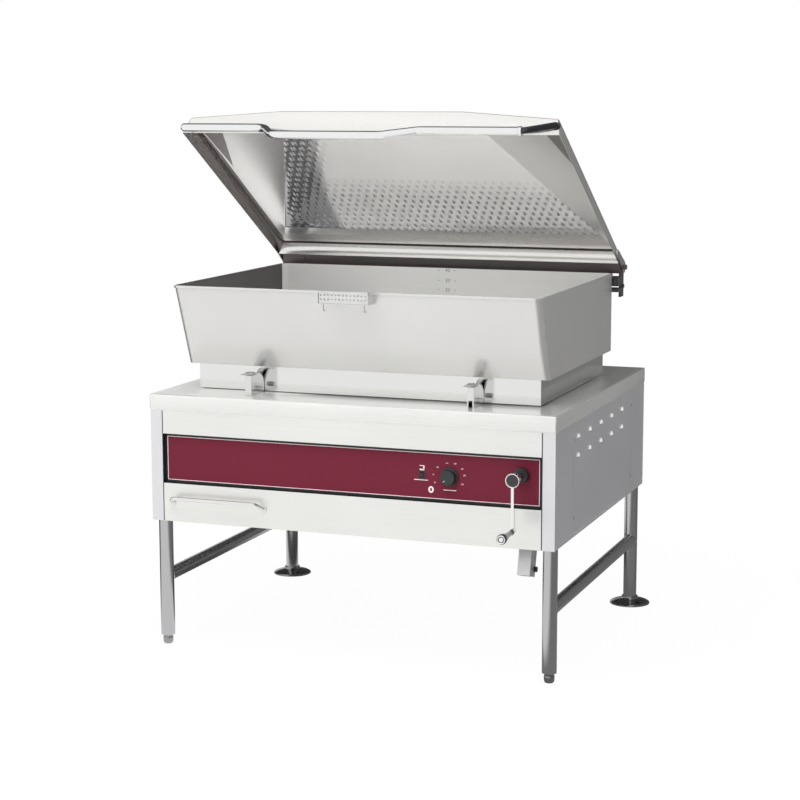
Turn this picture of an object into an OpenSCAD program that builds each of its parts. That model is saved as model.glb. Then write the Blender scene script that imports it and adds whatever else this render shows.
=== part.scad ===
// Tilting bratt pan: a front-hinged rectangular pan with a lid, on a console
// that stands on four round legs. A hand crank tilts the pan through a bevel box
// and a swinging screw jack. Millimetres, +Z up, front towards -Y, right is +X.
// Heights count from the floor. Depths (names ending in _y) count from the
// console's front edge and are moved by front_y, so that the origin lies on the
// floor under the middle of the whole object.

/* [Console] */
// Width of the worktop
body_w = 1219; // [1140:1:1300]
// Depth of the worktop
body_d = 1016; // [980:1:1080]
// Height of the worktop above the floor
worktop_h = 750; // [740:1:760]
// Height of the apron that turns down round the worktop
apron_h = 46; // [36:1:54]
// Sheet thickness of the worktop
top_t = 2; // [1.5:0.1:2.5]
// Height of the console from its lower edge to the worktop
console_h = 371; // [365:1:385]
// Sheet thickness of the console's panels
panel_t = 1.2; // [1:0.1:1.5]
// Setback of the panels behind the apron's outer face
panel_inset = 2; // [1.6:0.1:2.6]
// Width of the front corner posts
post_w = 36; // [32:1:40]
// Depth of the flanges folded inwards at the panels' edges
fold_d = 14; // [10:1:15]
// Length of the rear panel's wings along the sides
wing_d = 50; // [40:1:60]
// Gap between neighbouring panels
seam = 1; // [0.6:0.1:1.5]

/* [Front panels] */
// Distance of the control panel's recess below the worktop
recess_drop = 114; // [110:1:120]
// Height of the control panel's recess
recess_h = 145; // [142:1:150]
// Setback of the control panel's face behind the console's front
control_y = 14; // [10:1:15]
// Thickness of the control panel
control_t = 2; // [1.5:0.5:3]
// Gap round the control panel inside its recess
control_gap = 8; // [6:0.5:9]

/* [Access panels and vents] */
// Front edge of the side access panels
access_front_y = 181; // [170:1:190]
// Distance of the access panels' rear edge from the console's rear
access_rear_in = 161; // [151:1:171]
// Diameter of a vent hole
vent_d = 18; // [12:1:22]
// Vents in a row
vent_count = 5; // [3:1:5]
// Rows of vents
vent_rows = 2; // [1:1:2]
// Distance of the first vent from the access panel's front edge
vent_front_in = 49; // [40:1:60]
// Distance of the last vent from the access panel's rear edge
vent_rear_in = 129; // [110:1:150]
// Distance between the rows of vents
vent_row_gap = 54; // [40:1:60]
// Distance of the upper row of vents below the worktop
vent_drop = 90; // [80:1:110]

/* [Legs] */
// Outer diameter of the leg tubes
leg_d = 41.3; // [38:0.1:43]
// Wall thickness of the leg tubes
leg_wall = 1.6; // [1.2:0.1:2.5]
// Depth of the front legs' axes
leg_front_y = 41; // [40:1:46]
// Setback of the rear legs' axes from the console's rear edge
leg_rear_setback = 53; // [45:1:60]
// How far the leg tubes reach up into the console
leg_in = 61; // [51:1:71]
// Height of the side stretchers' axes
stretcher_z = 205; // [150:1:300]
// Outer diameter of the side stretchers
stretcher_d = 38.1; // [32:0.1:40]
// Visible height of a front foot
foot_h = 28; // [22:1:32]
// Diameter of a front foot
foot_d = 30; // [24:1:34]
// Diameter of the screw on a front foot
foot_screw_d = 16; // [12:1:20]
// Diameter of the rear floor flanges
flange_d = 126; // [116:1:140]
// Height of the rear floor flanges
flange_h = 24; // [20:1:30]
// Diameter of the bolt circle of a floor flange
flange_pcd = 96; // [92:1:100]
// Diameter of the bolt holes in a floor flange
flange_hole_d = 9; // [7:0.5:10]

/* [Pan] */
// Setback of the pan's sides from the worktop's sides
pan_in = 59.5; // [50:0.5:79]
// Depth of the pan's front rim
pan_front_y = 41; // [38:1:46]
// How far the front wall's foot lies behind its rim
pan_lean = 94; // [90:1:98]
// Distance of the pan's rear wall from the worktop's rear edge
pan_rear_in = 187; // [184:1:196]
// Height of the pan's underside above the worktop
pan_above = 76; // [72:1:80]
// Height of the pan
pan_h = 236; // [230:1:242]
// Wall thickness of the pan
pan_t = 3; // [2:0.5:4]
// Radius of the pan's upright corners
pan_corner_r = 22; // [15:1:28]
// Thickness of the cooking plate
plate_t = 12; // [8:1:16]
// Height of the band round the rim
band_h = 8; // [6:1:12]
// How far the band stands out from the pan
band_out = 3; // [2:0.5:3]
// Setback of the sides of the box under the pan from the pan's sides
base_in = 29; // [25:1:50]
// Setback of that box's front from the foot of the pan's front wall
base_front_in = 19; // [18:1:23]
// Setback of that box's rear from the pan's rear wall
base_rear_in = 3; // [1:1:14]
// Gap between that box and the worktop
base_gap = 2; // [1.5:0.5:3]

/* [Tilt hinges] */
// Depth of the tilt axis
tilt_y = 107; // [105:1:108]
// Height of the tilt axis above the worktop
tilt_above = 16; // [15:1:18]
// Distance of the left hinge from the middle
hinge_left_x = 324; // [280:1:380]
// Distance of the right hinge from the middle
hinge_right_x = 346; // [280:1:380]
// Width of a hinge block
block_w = 20; // [18:1:24]
// Radius of a hinge block's round top
block_r = 45; // [40:0.5:45]
// Thickness of a pan ear
ear_t = 10; // [8:1:11]
// Diameter of the tilt pins
tilt_pin_d = 14; // [12:1:16]

/* [Pour lip] */
// Place of the lip's middle across the pan
lip_x = -4; // [-20:1:20]
// Width of the lip
lip_w = 150; // [130:1:160]
// How far the lip stands out from the rim
lip_out = 45; // [36:1:46]
// Depth of the lip's channel below the rim
lip_h = 32; // [26:1:38]
// Sheet thickness of the lip and its strainer
lip_t = 2; // [1.5:0.5:2.5]
// Diameter of a strainer hole
strainer_hole_d = 5; // [3:0.5:6]
// Distance between strainer holes
strainer_pitch = 11; // [9:0.5:12]

/* [Lid] */
// How far the lid stands out beyond the pan's sides
lid_over = 16; // [13:1:19]
// Setback of the lid's front edge from the pan's rim
lid_front_in = 3; // [0:1:5]
// How far the lid's rear edge lies behind the pan
lid_rear_out = 4; // [0:1:7]
// Gap between the lid's edge and the pan's rim
lid_gap = 2; // [2:0.5:6]
// Height of the lid's skirt
lid_skirt_h = 54; // [45:1:60]
// Rise of the lid's middle above its skirt at the front
lid_crown = 25; // [15:1:32]
// Thickness of the lid
lid_t = 2; // [1.5:0.5:2.5]
// Angle at which the lid stands open
lid_open = 30.8; // [28:0.1:34]
// Distance of the lid's hinge axis behind the lid
lid_axis_back = 49; // [47:1:53]
// Height of the lid's hinge axis above the lid's edge
lid_axis_up = 13; // [12:1:16]
// Width and height of the square hinge tube
hinge_tube_w = 38; // [34:1:40]
// Diameter of the lid's hinge pins
lid_pin_d = 16; // [12:1:18]
// Diameter of the lid's handle
handle_d = 24; // [20:1:24]

/* [Tilt drive] */
// Distance of the crank's axis from the worktop's right side
crank_in = 99; // [96:0.5:101]
// Distance of the crank's axis below the worktop
crank_drop = 167; // [160:1:175]
// Distance from the crank's axis to its grip
crank_arm = 140; // [110:1:150]
// Diameter of the crank shaft
crank_shaft_d = 16; // [14:1:18]
// Distance of the screw jack from the crank's axis
jack_in = 63.5; // [63.5:0.5:70]
// Distance from the tilt axis to the jack's two pivots
lift_r = 320; // [310:1:325]
// Height of the jack's upper pivot above the tilt axis
lift_rise = 14; // [10:1:16]
// Largest tilt of the pan
tilt_max = 76; // [60:1:76]
// Diameter of the jack's screw
screw_d = 22; // [20:1:22]
// Width of the jack's guard tube
guard_w = 38; // [34:1:42]
// Depth of the jack's guard tube
guard_d = 54; // [46:1:60]
// Diameter of the pin at the jack's upper pivot
lift_pin_d = 14; // [12:1:16]

/* [Small fittings] */
// Diameter of the thermostat knob
knob_d = 53; // [40:1:60]
// Height of the thermostat knob
knob_h = 20; // [15:1:26]
// Distance of the knob's axis from the crank's axis
knob_from_crank = 208.5; // [190:0.5:230]
// Distance of the knob's axis below the worktop
knob_drop = 187; // [175:1:195]
// Distance of the switch from the knob's axis
switch_from_knob = 80; // [64:1:100]
// Diameter of the bar handle on the lower panel
bar_d = 12; // [8:1:14]
// Length of the bar handle
bar_l = 288; // [200:1:320]

/* [Hidden] */
$fn = 48;
fn_hull = 32;
overrun = 2;

// Running gap between a pin and its hole
run_gap = 0.05;
// Gap between pieces that are pushed together
push_gap = 0.02;
// Least gap between pieces that move past each other
move_gap = 0.4;

half_w = body_w / 2;
console_bottom = worktop_h - console_h;
recess_top = worktop_h - recess_drop;
recess_bottom = recess_top - recess_h;
panel_x = half_w - panel_inset;
inner_x = panel_x - panel_t;
panel_front = panel_inset;
panel_rear = body_d - panel_inset;
panel_top = worktop_h - top_t - seam;
post_x = panel_x - post_w;

leg_r = leg_d / 2;
leg_gap = 1;
leg_x = inner_x - leg_gap - leg_r;
leg_top = console_bottom + leg_in;
leg_rear_y = body_d - leg_rear_setback;
flange_r = flange_d / 2;
flange_floor = 4;
flange_rim_h = 6;
collar_wall = 5;

// Reach of the crank's grip in front of the console
grip_reach = 176;
// The origin lies halfway between the grip's end and the floor flanges
front_y = -(leg_rear_y + flange_r - grip_reach) / 2;

// Base frame of square-cut tubes
rail_w = 25;
rail_h = 40;
rail_wall = 3;
rail_gap = 6;
rail_z = leg_top - rail_h;
rail_x = leg_x - leg_r - rail_gap - rail_w;
corner_t = 6;
corner_margin = 4;
cross_front_y = 65;
cross_rear_in = 95;
cross_rear_y = body_d - cross_rear_in;

// Tilt axis, jack pivots and their distances
tilt_z = worktop_h + tilt_above;
crank_x = half_w - crank_in;
crank_z = worktop_h - crank_drop;
jack_x = crank_x - jack_in;
lift_y = tilt_y + sqrt(lift_r * lift_r - lift_rise * lift_rise);
lift_z = tilt_z + lift_rise;
jack_drop = tilt_z - crank_z;
jack_y = tilt_y + sqrt(lift_r * lift_r - jack_drop * jack_drop);
jack_z = crank_z;
jack_short = sqrt(pow(lift_y - jack_y, 2) + pow(lift_z - jack_z, 2));
jack_lean = atan2(lift_y - jack_y, lift_z - jack_z);
jack_half_angle = asin(jack_short / (2 * lift_r));
jack_long = 2 * lift_r * sin(jack_half_angle + tilt_max / 2);
screw_r = screw_d / 2;
screw_tail = 22;
screw_l = jack_long + screw_tail;
guard_wall = 2.5;
guard_cap = 5;
guard_spare = 4;
guard_bolt_d = 6;
bolt_back = 17;
bolt_up = 22;
bolt_head_r = 8;

// Jack housing, drive nut and their gears
case_half = 33;
case_wall = 5;
case_up = 32;
case_down = 38;
nut_r = screw_r + 4;
nut_up = case_up - case_wall - move_gap;
crown_r = case_half - case_wall - 1;
crown_t = 12;
tooth_h = 1.5;
pinion_r = 10;
pinion_l = 10;
crown_top = -(pinion_r + move_gap);
cross_d = 10;
trunnion_r = 10;
bracket_t = 8;
bracket_gap = 1.5;
bracket_in = case_half + bracket_gap;
bracket_out = bracket_in + bracket_t;
bracket_depth = 56;
bracket_round = 22;

// Drop from the round top of a hinge block to its front edge
block_cap = 3;

// Bevel box behind the crank
box_wall = 3;
box_half = 20;
box_gear_r = 16;
box_gear_t = 9;
box_pinion_r = 8;
box_pinion_l = 8;
box_depth = 26;
box_bearing = 8;
box_foot_w = 15;
gear_teeth = 24;
pinion_teeth = 12;

// Crank hub, arm and grip
boss_r = 21;
boss_out = 6 + control_y;
bearing_r = 14;
hub_r = 20;
hub_t = 16;
hub_y = -76;
arm_w = 8;
arm_t = 14;
grip_pin_d = 8;
grip_y = hub_y - 2;
grip_thin_r = 7;
grip_thick_r = 14;
grip_cap = 8;

// Control parts behind the panel
stem_d = 6;
thermostat_w = 60;
thermostat_d = 46;
switch_w = 13;
switch_h = 18;
switch_frame = 3;
switch_up = 2;
knob_x = crank_x - knob_from_crank;
knob_z = worktop_h - knob_drop;
switch_x = knob_x - switch_from_knob;
switch_z = knob_z + switch_up;
rocker_d = 9;
rocker_pin_d = 3;
// The rocker leans by half its travel at rest
rocker_lean = 8;

// Screws of the access panels
screw_head_d = 9;
screw_head_h = 2;
screw_shank_d = 4;
screw_edge = 7;
strip_half = 16;
access_rear_y = body_d - access_rear_in;
vent_front_y = access_front_y + vent_front_in;
vent_pitch = (access_rear_y - vent_rear_in - vent_front_y) / (vent_count - 1);
vent_z = worktop_h - vent_drop;
access_bottom = console_bottom + 6;
access_top = worktop_h - apron_h + 12;
screw_low_up = 55;
screw_high_drop = 96;
screw_low_z = console_bottom + screw_low_up;
screw_high_z = worktop_h - screw_high_drop;

// Pan, its base and lifting beam
pan_half = half_w - pan_in;
pan_foot_y = pan_front_y + pan_lean;
pan_rear_y = body_d - pan_rear_in;
pan_bottom = worktop_h + pan_above;
pan_rim = pan_bottom + pan_h;
pan_slope = (pan_foot_y - pan_front_y) / (pan_rim - pan_bottom);
// Height of the discs that the pan's outline is drawn round
form_edge = 1;
base_half = pan_half - base_in;
base_front_y = pan_foot_y + base_front_in;
base_rear_y = pan_rear_y - base_rear_in;
base_t = 1.5;
base_z = worktop_h + base_gap;
element_h = 12;
element_w = 70;
element_count = 4;
insulation_t = 14;
beam_w = 40;
beam_wall = 3;
beam_back = 16;
ear_plate = 8;
eye_r = 13;
eye_half = 12;
eye_slack = 0.5;
insulation_drop = 3;

// Slot for the screw in the worktop and in the pan's base
slot_w = 60;
slot_ahead = 108;
slot_behind = 20;
slot_front_y = jack_y - slot_ahead;
slot_rear_y = lift_y + slot_behind;
base_slot_ahead = 92;
base_slot_behind = 16;
base_slot_front_y = lift_y - base_slot_ahead;
base_slot_rear_y = lift_y + base_slot_behind;
base_slot_w = 44;

// Lid outline and hinge
lid_half = pan_half + lid_over;
lid_front_y = pan_front_y + lid_front_in;
lid_rear_y = pan_rear_y + lid_rear_out;
lid_rim = pan_rim + lid_gap;
lid_axis_y = lid_rear_y + lid_axis_back;
lid_axis_z = lid_rim + lid_axis_up;
lid_lean = 12;
lid_front_lean = 8;
lid_rear_h = 46;
lid_crease = 80;
crease_in = 336;
crease_x = lid_half - crease_in;
tube_half = hinge_tube_w / 2;
tube_wall = 3;
strap_t = 4;
strap_gap = 0.2;
strap_x = lid_half + strap_gap;
tube_end_x = strap_x - 2;
strap_eye_r = 18;
strap_tip_r = 10;
strap_l = 92;
pin_end_x = strap_x + strap_t + 8;
bracket_arm_h = 36;
bracket_bar_h = 10;
bracket_bar_drop = 44;
bracket_plate_h = 72;
bracket_plate_t = 6;
bracket_arm_in = 35;

// Handle's centre line on the shut lid: across, depth, height
handle_r = handle_d / 2;
handle_gap_y = 38;
handle_drop = 5;
handle_bow_y = 74;
handle_bow_drop = 47;
handle_right_y = 45;
handle_right_drop = 15;
handle_left_in = 10;
handle_left_x = lid_half - handle_left_in;
handle_end_up = 26;
handle_jog_left = 288;
handle_jog_right = 246;
handle_back_left = 80;
handle_back_right = 180;
handle_tube_end_in = 107;
handle_last_in = 18;
handle_tube_end = lid_half - handle_tube_end_in;
handle_last = lid_half - handle_last_in;
handle_thin_r = 8.5;
handle_bead = 0.6;
handle_post_w = 5;
handle_post_h = 14;

// Place of a point counted from the console's front edge
module from_front() { translate([0, front_y, 0]) children(); }

// A box given by its low and high corners
module span(low, high) { translate(low) cube(high - low); }

// A copy on each side of the middle
module both_sides() {
    children();
    mirror([1, 0, 0]) children();
}

// A straight rod from one point to another
module rod(a, b, r) {
    v = b - a;
    translate(a)
        rotate([0, atan2(norm([v[0], v[1]]), v[2]), atan2(v[1], v[0])])
            cylinder(h = norm(v), r = r);
}

// A round bar along X between two places, at a depth and a height
module bar_x(x0, x1, y, z, r) {
    translate([x0, y, z]) rotate([0, 90, 0]) cylinder(h = x1 - x0, r = r);
}

// A round bar along Y between two depths, at a place and a height
module bar_y(y0, y1, x, z, r) {
    translate([x, y0, z]) rotate([-90, 0, 0]) cylinder(h = y1 - y0, r = r);
}

// Children placed on the leaning jack: origin at its lower pivot, +Z along the screw
module on_jack() {
    from_front() translate([jack_x, jack_y, jack_z]) rotate([-jack_lean, 0, 0]) children();
}

// Children drawn for the shut lid, turned to where the lid stands open
module on_lid() {
    from_front() translate([0, lid_axis_y, lid_axis_z]) rotate([-lid_open, 0, 0])
        translate([0, -lid_axis_y, -lid_axis_z]) children();
}

// A toothed disc on the plane z = 0, its teeth cut into the upper face
module crown(r, t, teeth) {
    groove = PI * r / teeth;
    difference() {
        cylinder(h = t, r = r);
        for (i = [0 : teeth - 1])
            rotate([0, 0, i * 360 / teeth])
                translate([r / 2, -groove / 2, t - tooth_h])
                    cube([r, groove, tooth_h + overrun]);
    }
}

// A small toothed wheel on the plane z = 0, its teeth on the rim
module pinion(r, t, teeth) {
    groove = PI * r / teeth;
    difference() {
        cylinder(h = t, r = r);
        for (i = [0 : teeth - 1])
            rotate([0, 0, i * 360 / teeth])
                translate([r - tooth_h, -groove / 2, -overrun])
                    cube([r, groove, t + 2 * overrun]);
    }
}

// Hollow rectangular tube along X or Y, by its corners
module tube_along(low, high, wall, axis) {
    along = [for (i = [0 : 2]) i == axis ? 1 : 0];
    difference() {
        span(low, high);
        span([for (i = [0 : 2]) low[i] + (along[i] ? -overrun : wall)],
             [for (i = [0 : 2]) high[i] + (along[i] ? overrun : -wall)]);
    }
}

module base_frame() {
    jack_left = jack_x - bracket_in - rail_w;
    jack_right = jack_x + bracket_in;
    top_z = worktop_h - top_t;
    color("silver") from_front() {
        both_sides()
            tube_along([rail_x, cross_front_y, rail_z],
                       [rail_x + rail_w, cross_rear_y + rail_w, leg_top], rail_wall, 1);
        for (y = [cross_front_y, cross_rear_y])
            tube_along([-rail_x, y, rail_z], [rail_x, y + rail_w, leg_top], rail_wall, 0);
        for (x = [jack_left, jack_right])
            tube_along([x, cross_front_y + rail_w, rail_z],
                       [x + rail_w, cross_rear_y, leg_top], rail_wall, 1);
        both_sides() for (y = [cross_front_y, cross_rear_y])
            tube_along([rail_x, y, leg_top + corner_t],
                       [rail_x + rail_w, y + rail_w, top_z], rail_wall, 2);
        tube_along([-rail_x, cross_front_y, top_z - rail_h],
                   [rail_x, cross_front_y + rail_w, top_z], rail_wall, 0);
    }
}

// Corner plates on the frame, each with a plug that fills the top of a leg
module leg_plugs() {
    plug_l = 90;
    front_low = panel_front + fold_d + seam;
    front_high = cross_front_y + rail_w;
    rear_high = panel_rear - panel_t - seam;
    color("silver") from_front() both_sides() {
        span([rail_x, front_low, leg_top],
             [inner_x - leg_gap / 2, front_high, leg_top + corner_t]);
        translate([leg_x, leg_front_y, leg_top - plug_l])
            cylinder(h = plug_l, r = leg_r - leg_wall - push_gap);
        span([rail_x, cross_rear_y, leg_top],
             [inner_x - leg_gap / 2, rear_high, leg_top + corner_t]);
        translate([leg_x, leg_rear_y, leg_top - plug_l])
            cylinder(h = plug_l, r = leg_r - leg_wall - push_gap);
    }
}

// Leg tube; a front leg has a threaded end piece for its foot
module leg(side, y, bottom, threaded) {
    insert_h = 40;
    color("silver") from_front() translate([side * leg_x, y, bottom])
        difference() {
            cylinder(h = leg_top - bottom, r = leg_r);
            translate([0, 0, threaded ? insert_h : -overrun])
                cylinder(h = leg_top, r = leg_r - leg_wall);
            if (threaded)
                translate([0, 0, -overrun])
                    cylinder(h = insert_h + 2 * overrun, r = foot_screw_d / 2 + run_gap);
        }
}

module leg_front_left() { leg(-1, leg_front_y, foot_h, true); }

module leg_front_right() { leg(1, leg_front_y, foot_h, true); }

module leg_rear_left() { leg(-1, leg_rear_y, flange_floor, false); }

module leg_rear_right() { leg(1, leg_rear_y, flange_floor, false); }

// Side stretcher, cut to the round of the legs
module stretcher(side) {
    color("silver") from_front() difference() {
        bar_y(leg_front_y, leg_rear_y, side * leg_x, stretcher_z, stretcher_d / 2);
        bar_y(leg_front_y - overrun, leg_rear_y + overrun, side * leg_x, stretcher_z,
              stretcher_d / 2 - leg_wall);
        for (y = [leg_front_y, leg_rear_y])
            translate([side * leg_x, y, stretcher_z - leg_d])
                cylinder(h = 2 * leg_d, r = leg_r);
    }
}

module stretcher_left() { stretcher(-1); }

module stretcher_right() { stretcher(1); }

// Domed floor flange with a socket for the leg and four bolt holes
module floor_flange(side) {
    collar_r = leg_r + collar_wall;
    color("dimgray") from_front() translate([side * leg_x, leg_rear_y, 0])
        difference() {
            rotate_extrude($fn = 96)
                polygon([
                    [0, 0], [flange_r, 0], [flange_r, flange_rim_h],
                    [(flange_r + collar_r) / 2, flange_rim_h + flange_floor],
                    [collar_r, flange_h], [0, flange_h]
                ]);
            translate([0, 0, flange_floor])
                cylinder(h = flange_h, r = leg_r + push_gap);
            for (i = [0 : 3])
                rotate([0, 0, 45 + i * 90]) translate([flange_pcd / 2, 0, -overrun])
                    cylinder(h = flange_h, d = flange_hole_d);
        }
}

module floor_flange_left() { floor_flange(-1); }

module floor_flange_right() { floor_flange(1); }

// Bullet foot with its screw
module foot(side) {
    tip_h = foot_h / 4;
    screw_up = 36;
    color("gainsboro") from_front() translate([side * leg_x, leg_front_y, 0])
        rotate_extrude()
            polygon([
                [0, 0], [foot_d / 2 - tip_h / 2, 0], [foot_d / 2, tip_h],
                [foot_d / 2, foot_h], [foot_screw_d / 2, foot_h],
                [foot_screw_d / 2, foot_h + screw_up], [0, foot_h + screw_up]
            ]);
}

module foot_left() { foot(-1); }

module foot_right() { foot(1); }

// Worktop sheet with its apron and the slot that the jack's screw passes
module worktop() {
    color("gainsboro") from_front() difference() {
        span([-half_w, 0, worktop_h - apron_h], [half_w, body_d, worktop_h]);
        span([-half_w + top_t, top_t, worktop_h - apron_h - overrun],
             [half_w - top_t, body_d - top_t, worktop_h - top_t]);
        span([jack_x - slot_w / 2, slot_front_y, worktop_h - apron_h],
             [jack_x + slot_w / 2, slot_rear_y, worktop_h + overrun]);
    }
}

// Side panel with its corner post, a window and strips behind the window's edges
module side_panel(side) {
    wing_y = panel_rear - wing_d - seam;
    strip_x = inner_x - panel_t;
    color("lightgray") from_front() scale([side, 1, 1]) {
        difference() {
            span([inner_x, panel_front, console_bottom], [panel_x, wing_y, panel_top]);
            span([inner_x - overrun, access_front_y, access_bottom],
                 [panel_x + overrun, access_rear_y, access_top]);
        }
        span([post_x, panel_front, console_bottom],
             [inner_x, panel_front + panel_t, panel_top]);
        span([post_x, panel_front + panel_t, console_bottom],
             [post_x + panel_t, panel_front + fold_d, panel_top]);
        difference() {
            union() {
                for (y = [access_front_y, access_rear_y])
                    span([strip_x, y - strip_half, access_bottom - overrun],
                         [inner_x, y + strip_half, access_top + overrun]);
            }
            side_screw_places() rotate([0, 90, 0])
                translate([0, 0, -screw_edge]) cylinder(h = 2 * screw_edge, d = screw_shank_d);
        }
    }
}

// Places of the four screws of an access panel, on the right side
module side_screw_places() {
    for (y = [access_front_y + screw_edge, access_rear_y - screw_edge],
         z = [screw_low_z, screw_high_z])
        translate([inner_x, y, z]) children();
}

module side_panel_left() { side_panel(-1); }

module side_panel_right() { side_panel(1); }

module access_panel(side) {
    color("lightgray") from_front() scale([side, 1, 1]) difference() {
        span([inner_x, access_front_y + seam, access_bottom + seam],
             [panel_x, access_rear_y - seam, access_top - seam]);
        for (i = [0 : vent_count - 1], j = [0 : vent_rows - 1])
            bar_x(inner_x - overrun, panel_x + overrun, vent_front_y + i * vent_pitch,
                  vent_z - j * vent_row_gap, vent_d / 2);
        side_screw_places() rotate([0, 90, 0])
            translate([0, 0, -overrun]) cylinder(h = panel_t + 2 * overrun, d = screw_shank_d);
    }
}

module access_panel_left() { access_panel(-1); }

module access_panel_right() { access_panel(1); }

module panel_screws() {
    color("darkgray") from_front() both_sides() side_screw_places() rotate([0, 90, 0]) {
        translate([0, 0, panel_t]) cylinder(h = screw_head_h, d = screw_head_d);
        translate([0, 0, -screw_edge / 2])
            cylinder(h = panel_t + screw_edge / 2, d = screw_shank_d - push_gap);
    }
}

module back_panel() {
    color("lightgray") from_front() {
        span([-panel_x, panel_rear - panel_t, console_bottom], [panel_x, panel_rear, panel_top]);
        both_sides()
            span([inner_x, panel_rear - wing_d, console_bottom],
                 [panel_x, panel_rear - panel_t, panel_top]);
    }
}

// A folded front panel between the corner posts
module front_panel(bottom, top, fold_top, fold_bottom) {
    x = post_x - seam;
    color("gainsboro") from_front() {
        span([-x, panel_front, bottom], [x, panel_front + panel_t, top]);
        if (fold_top)
            span([-x, panel_front + panel_t, top - panel_t], [x, panel_front + fold_d, top]);
        if (fold_bottom)
            span([-x, panel_front + panel_t, bottom], [x, panel_front + fold_d, bottom + panel_t]);
    }
}

module upper_front_panel() { front_panel(recess_top, panel_top, false, false); }

module lower_front_panel() { front_panel(console_bottom, recess_bottom, false, true); }

// Black tray behind the control panel
module control_recess() {
    x = post_x - seam;
    tray_y = control_y + control_t;
    color("black") from_front() difference() {
        span([-x, panel_front + panel_t, recess_bottom - fold_d],
             [x, tray_y + panel_t, recess_top + fold_d]);
        span([-x + panel_t, panel_front, recess_bottom - fold_d + panel_t],
             [x - panel_t, tray_y, recess_top + fold_d - panel_t]);
        control_holes(tray_y - overrun, tray_y + panel_t + overrun);
    }
}

// Holes through the control panel and its tray
module control_holes(y0, y1) {
    bar_y(y0, y1, crank_x, crank_z, bearing_r + push_gap);
    bar_y(y0, y1, knob_x, knob_z, stem_d);
    span([switch_x - switch_w / 2, y0, switch_z - switch_h / 2],
         [switch_x + switch_w / 2, y1, switch_z + switch_h / 2]);
}

module control_panel() {
    x = post_x - seam - control_gap - panel_t;
    color([0.45, 0.16, 0.24]) from_front() difference() {
        span([-x, control_y, recess_bottom + control_gap],
             [x, control_y + control_t, recess_top - control_gap]);
        control_holes(control_y - overrun, control_y + control_t + overrun);
    }
}

// Thermostat behind the panel; its stem carries the knob
module thermostat_body() {
    y0 = control_y + control_t + panel_t;
    color("dimgray") from_front() {
        span([knob_x - thermostat_w / 2, y0, knob_z - thermostat_w / 2],
             [knob_x + thermostat_w / 2, y0 + thermostat_d, knob_z + thermostat_w / 2]);
        bar_y(control_y - knob_h / 2, y0, knob_x, knob_z, stem_d / 2);
    }
}

module thermostat_knob() {
    skirt_h = 4;
    color([0.1, 0.13, 0.12]) from_front() difference() {
        union() {
            bar_y(control_y - skirt_h, control_y - move_gap, knob_x, knob_z, knob_d / 2);
            bar_y(control_y - knob_h, control_y - skirt_h, knob_x, knob_z,
                  knob_d / 2 - skirt_h);
        }
        bar_y(control_y - knob_h / 2 - move_gap, control_y, knob_x, knob_z,
              stem_d / 2 + run_gap);
    }
}

// Frame and body of the rocker switch, with the rocker's pin
module switch_housing() {
    w = switch_w / 2;
    h = switch_h / 2;
    deep = 30;
    color("black") from_front() {
        difference() {
            union() {
                span([switch_x - w - switch_frame, control_y - switch_frame / 2,
                      switch_z - h - switch_frame],
                     [switch_x + w + switch_frame, control_y, switch_z + h + switch_frame]);
                span([switch_x - w + seam / 4, control_y, switch_z - h + seam / 4],
                     [switch_x + w - seam / 4, control_y + deep, switch_z + h - seam / 4]);
            }
            span([switch_x - w + seam, control_y - deep, switch_z - h + seam],
                 [switch_x + w - seam, control_y + rocker_d, switch_z + h - seam]);
        }
        bar_x(switch_x - w + seam / 2, switch_x + w - seam / 2, control_y, switch_z,
              rocker_pin_d / 2);
    }
}

module rocker() {
    w = switch_w / 2 - seam - move_gap;
    h = switch_h / 2 - seam - 4 * move_gap;
    front = 3;
    color([0.12, 0.03, 0.05]) from_front() difference() {
        translate([switch_x, control_y, switch_z]) rotate([rocker_lean, 0, 0])
            span([-w, -front, -h], [w, front, h]);
        bar_x(switch_x - switch_w, switch_x + switch_w, control_y, switch_z,
              rocker_pin_d / 2 + run_gap);
    }
}

// Contactor and terminals on the frame's left side
module contactor_box() {
    size_x = 180;
    size_y = 120;
    size_z = 110;
    x0 = -rail_x + seam;
    color("slategray") from_front()
        span([x0, cross_rear_y - size_y + rail_w, leg_top],
             [x0 + size_x, cross_rear_y + rail_w, leg_top + size_z]);
}

// Bar handle at the left of the lower panel, with ends bent back to the panel
module bar_handle() {
    r = bar_d / 2;
    bar_in = 30;
    bar_up = 74;
    x0 = -post_x + bar_in;
    x1 = x0 + bar_l;
    bar_z = console_bottom + bar_up;
    bar_out = -30;
    foot_drop = 18;
    foot_t = 4;
    inset = 12;
    bead = 0.4;
    color("gainsboro") from_front() {
        bar_x(x0 + inset, x1 - inset, bar_out, bar_z, r);
        for (e = [[x0 + inset, x0], [x1 - inset, x1]]) {
            translate([e[0], bar_out, bar_z]) sphere(r = r + bead);
            rod([e[0], bar_out, bar_z], [e[1], panel_front - foot_t, bar_z - foot_drop], r);
        }
        for (x = [x0, x1])
            bar_y(panel_front - foot_t, panel_front, x, bar_z - foot_drop, r + foot_t);
    }
}

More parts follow.
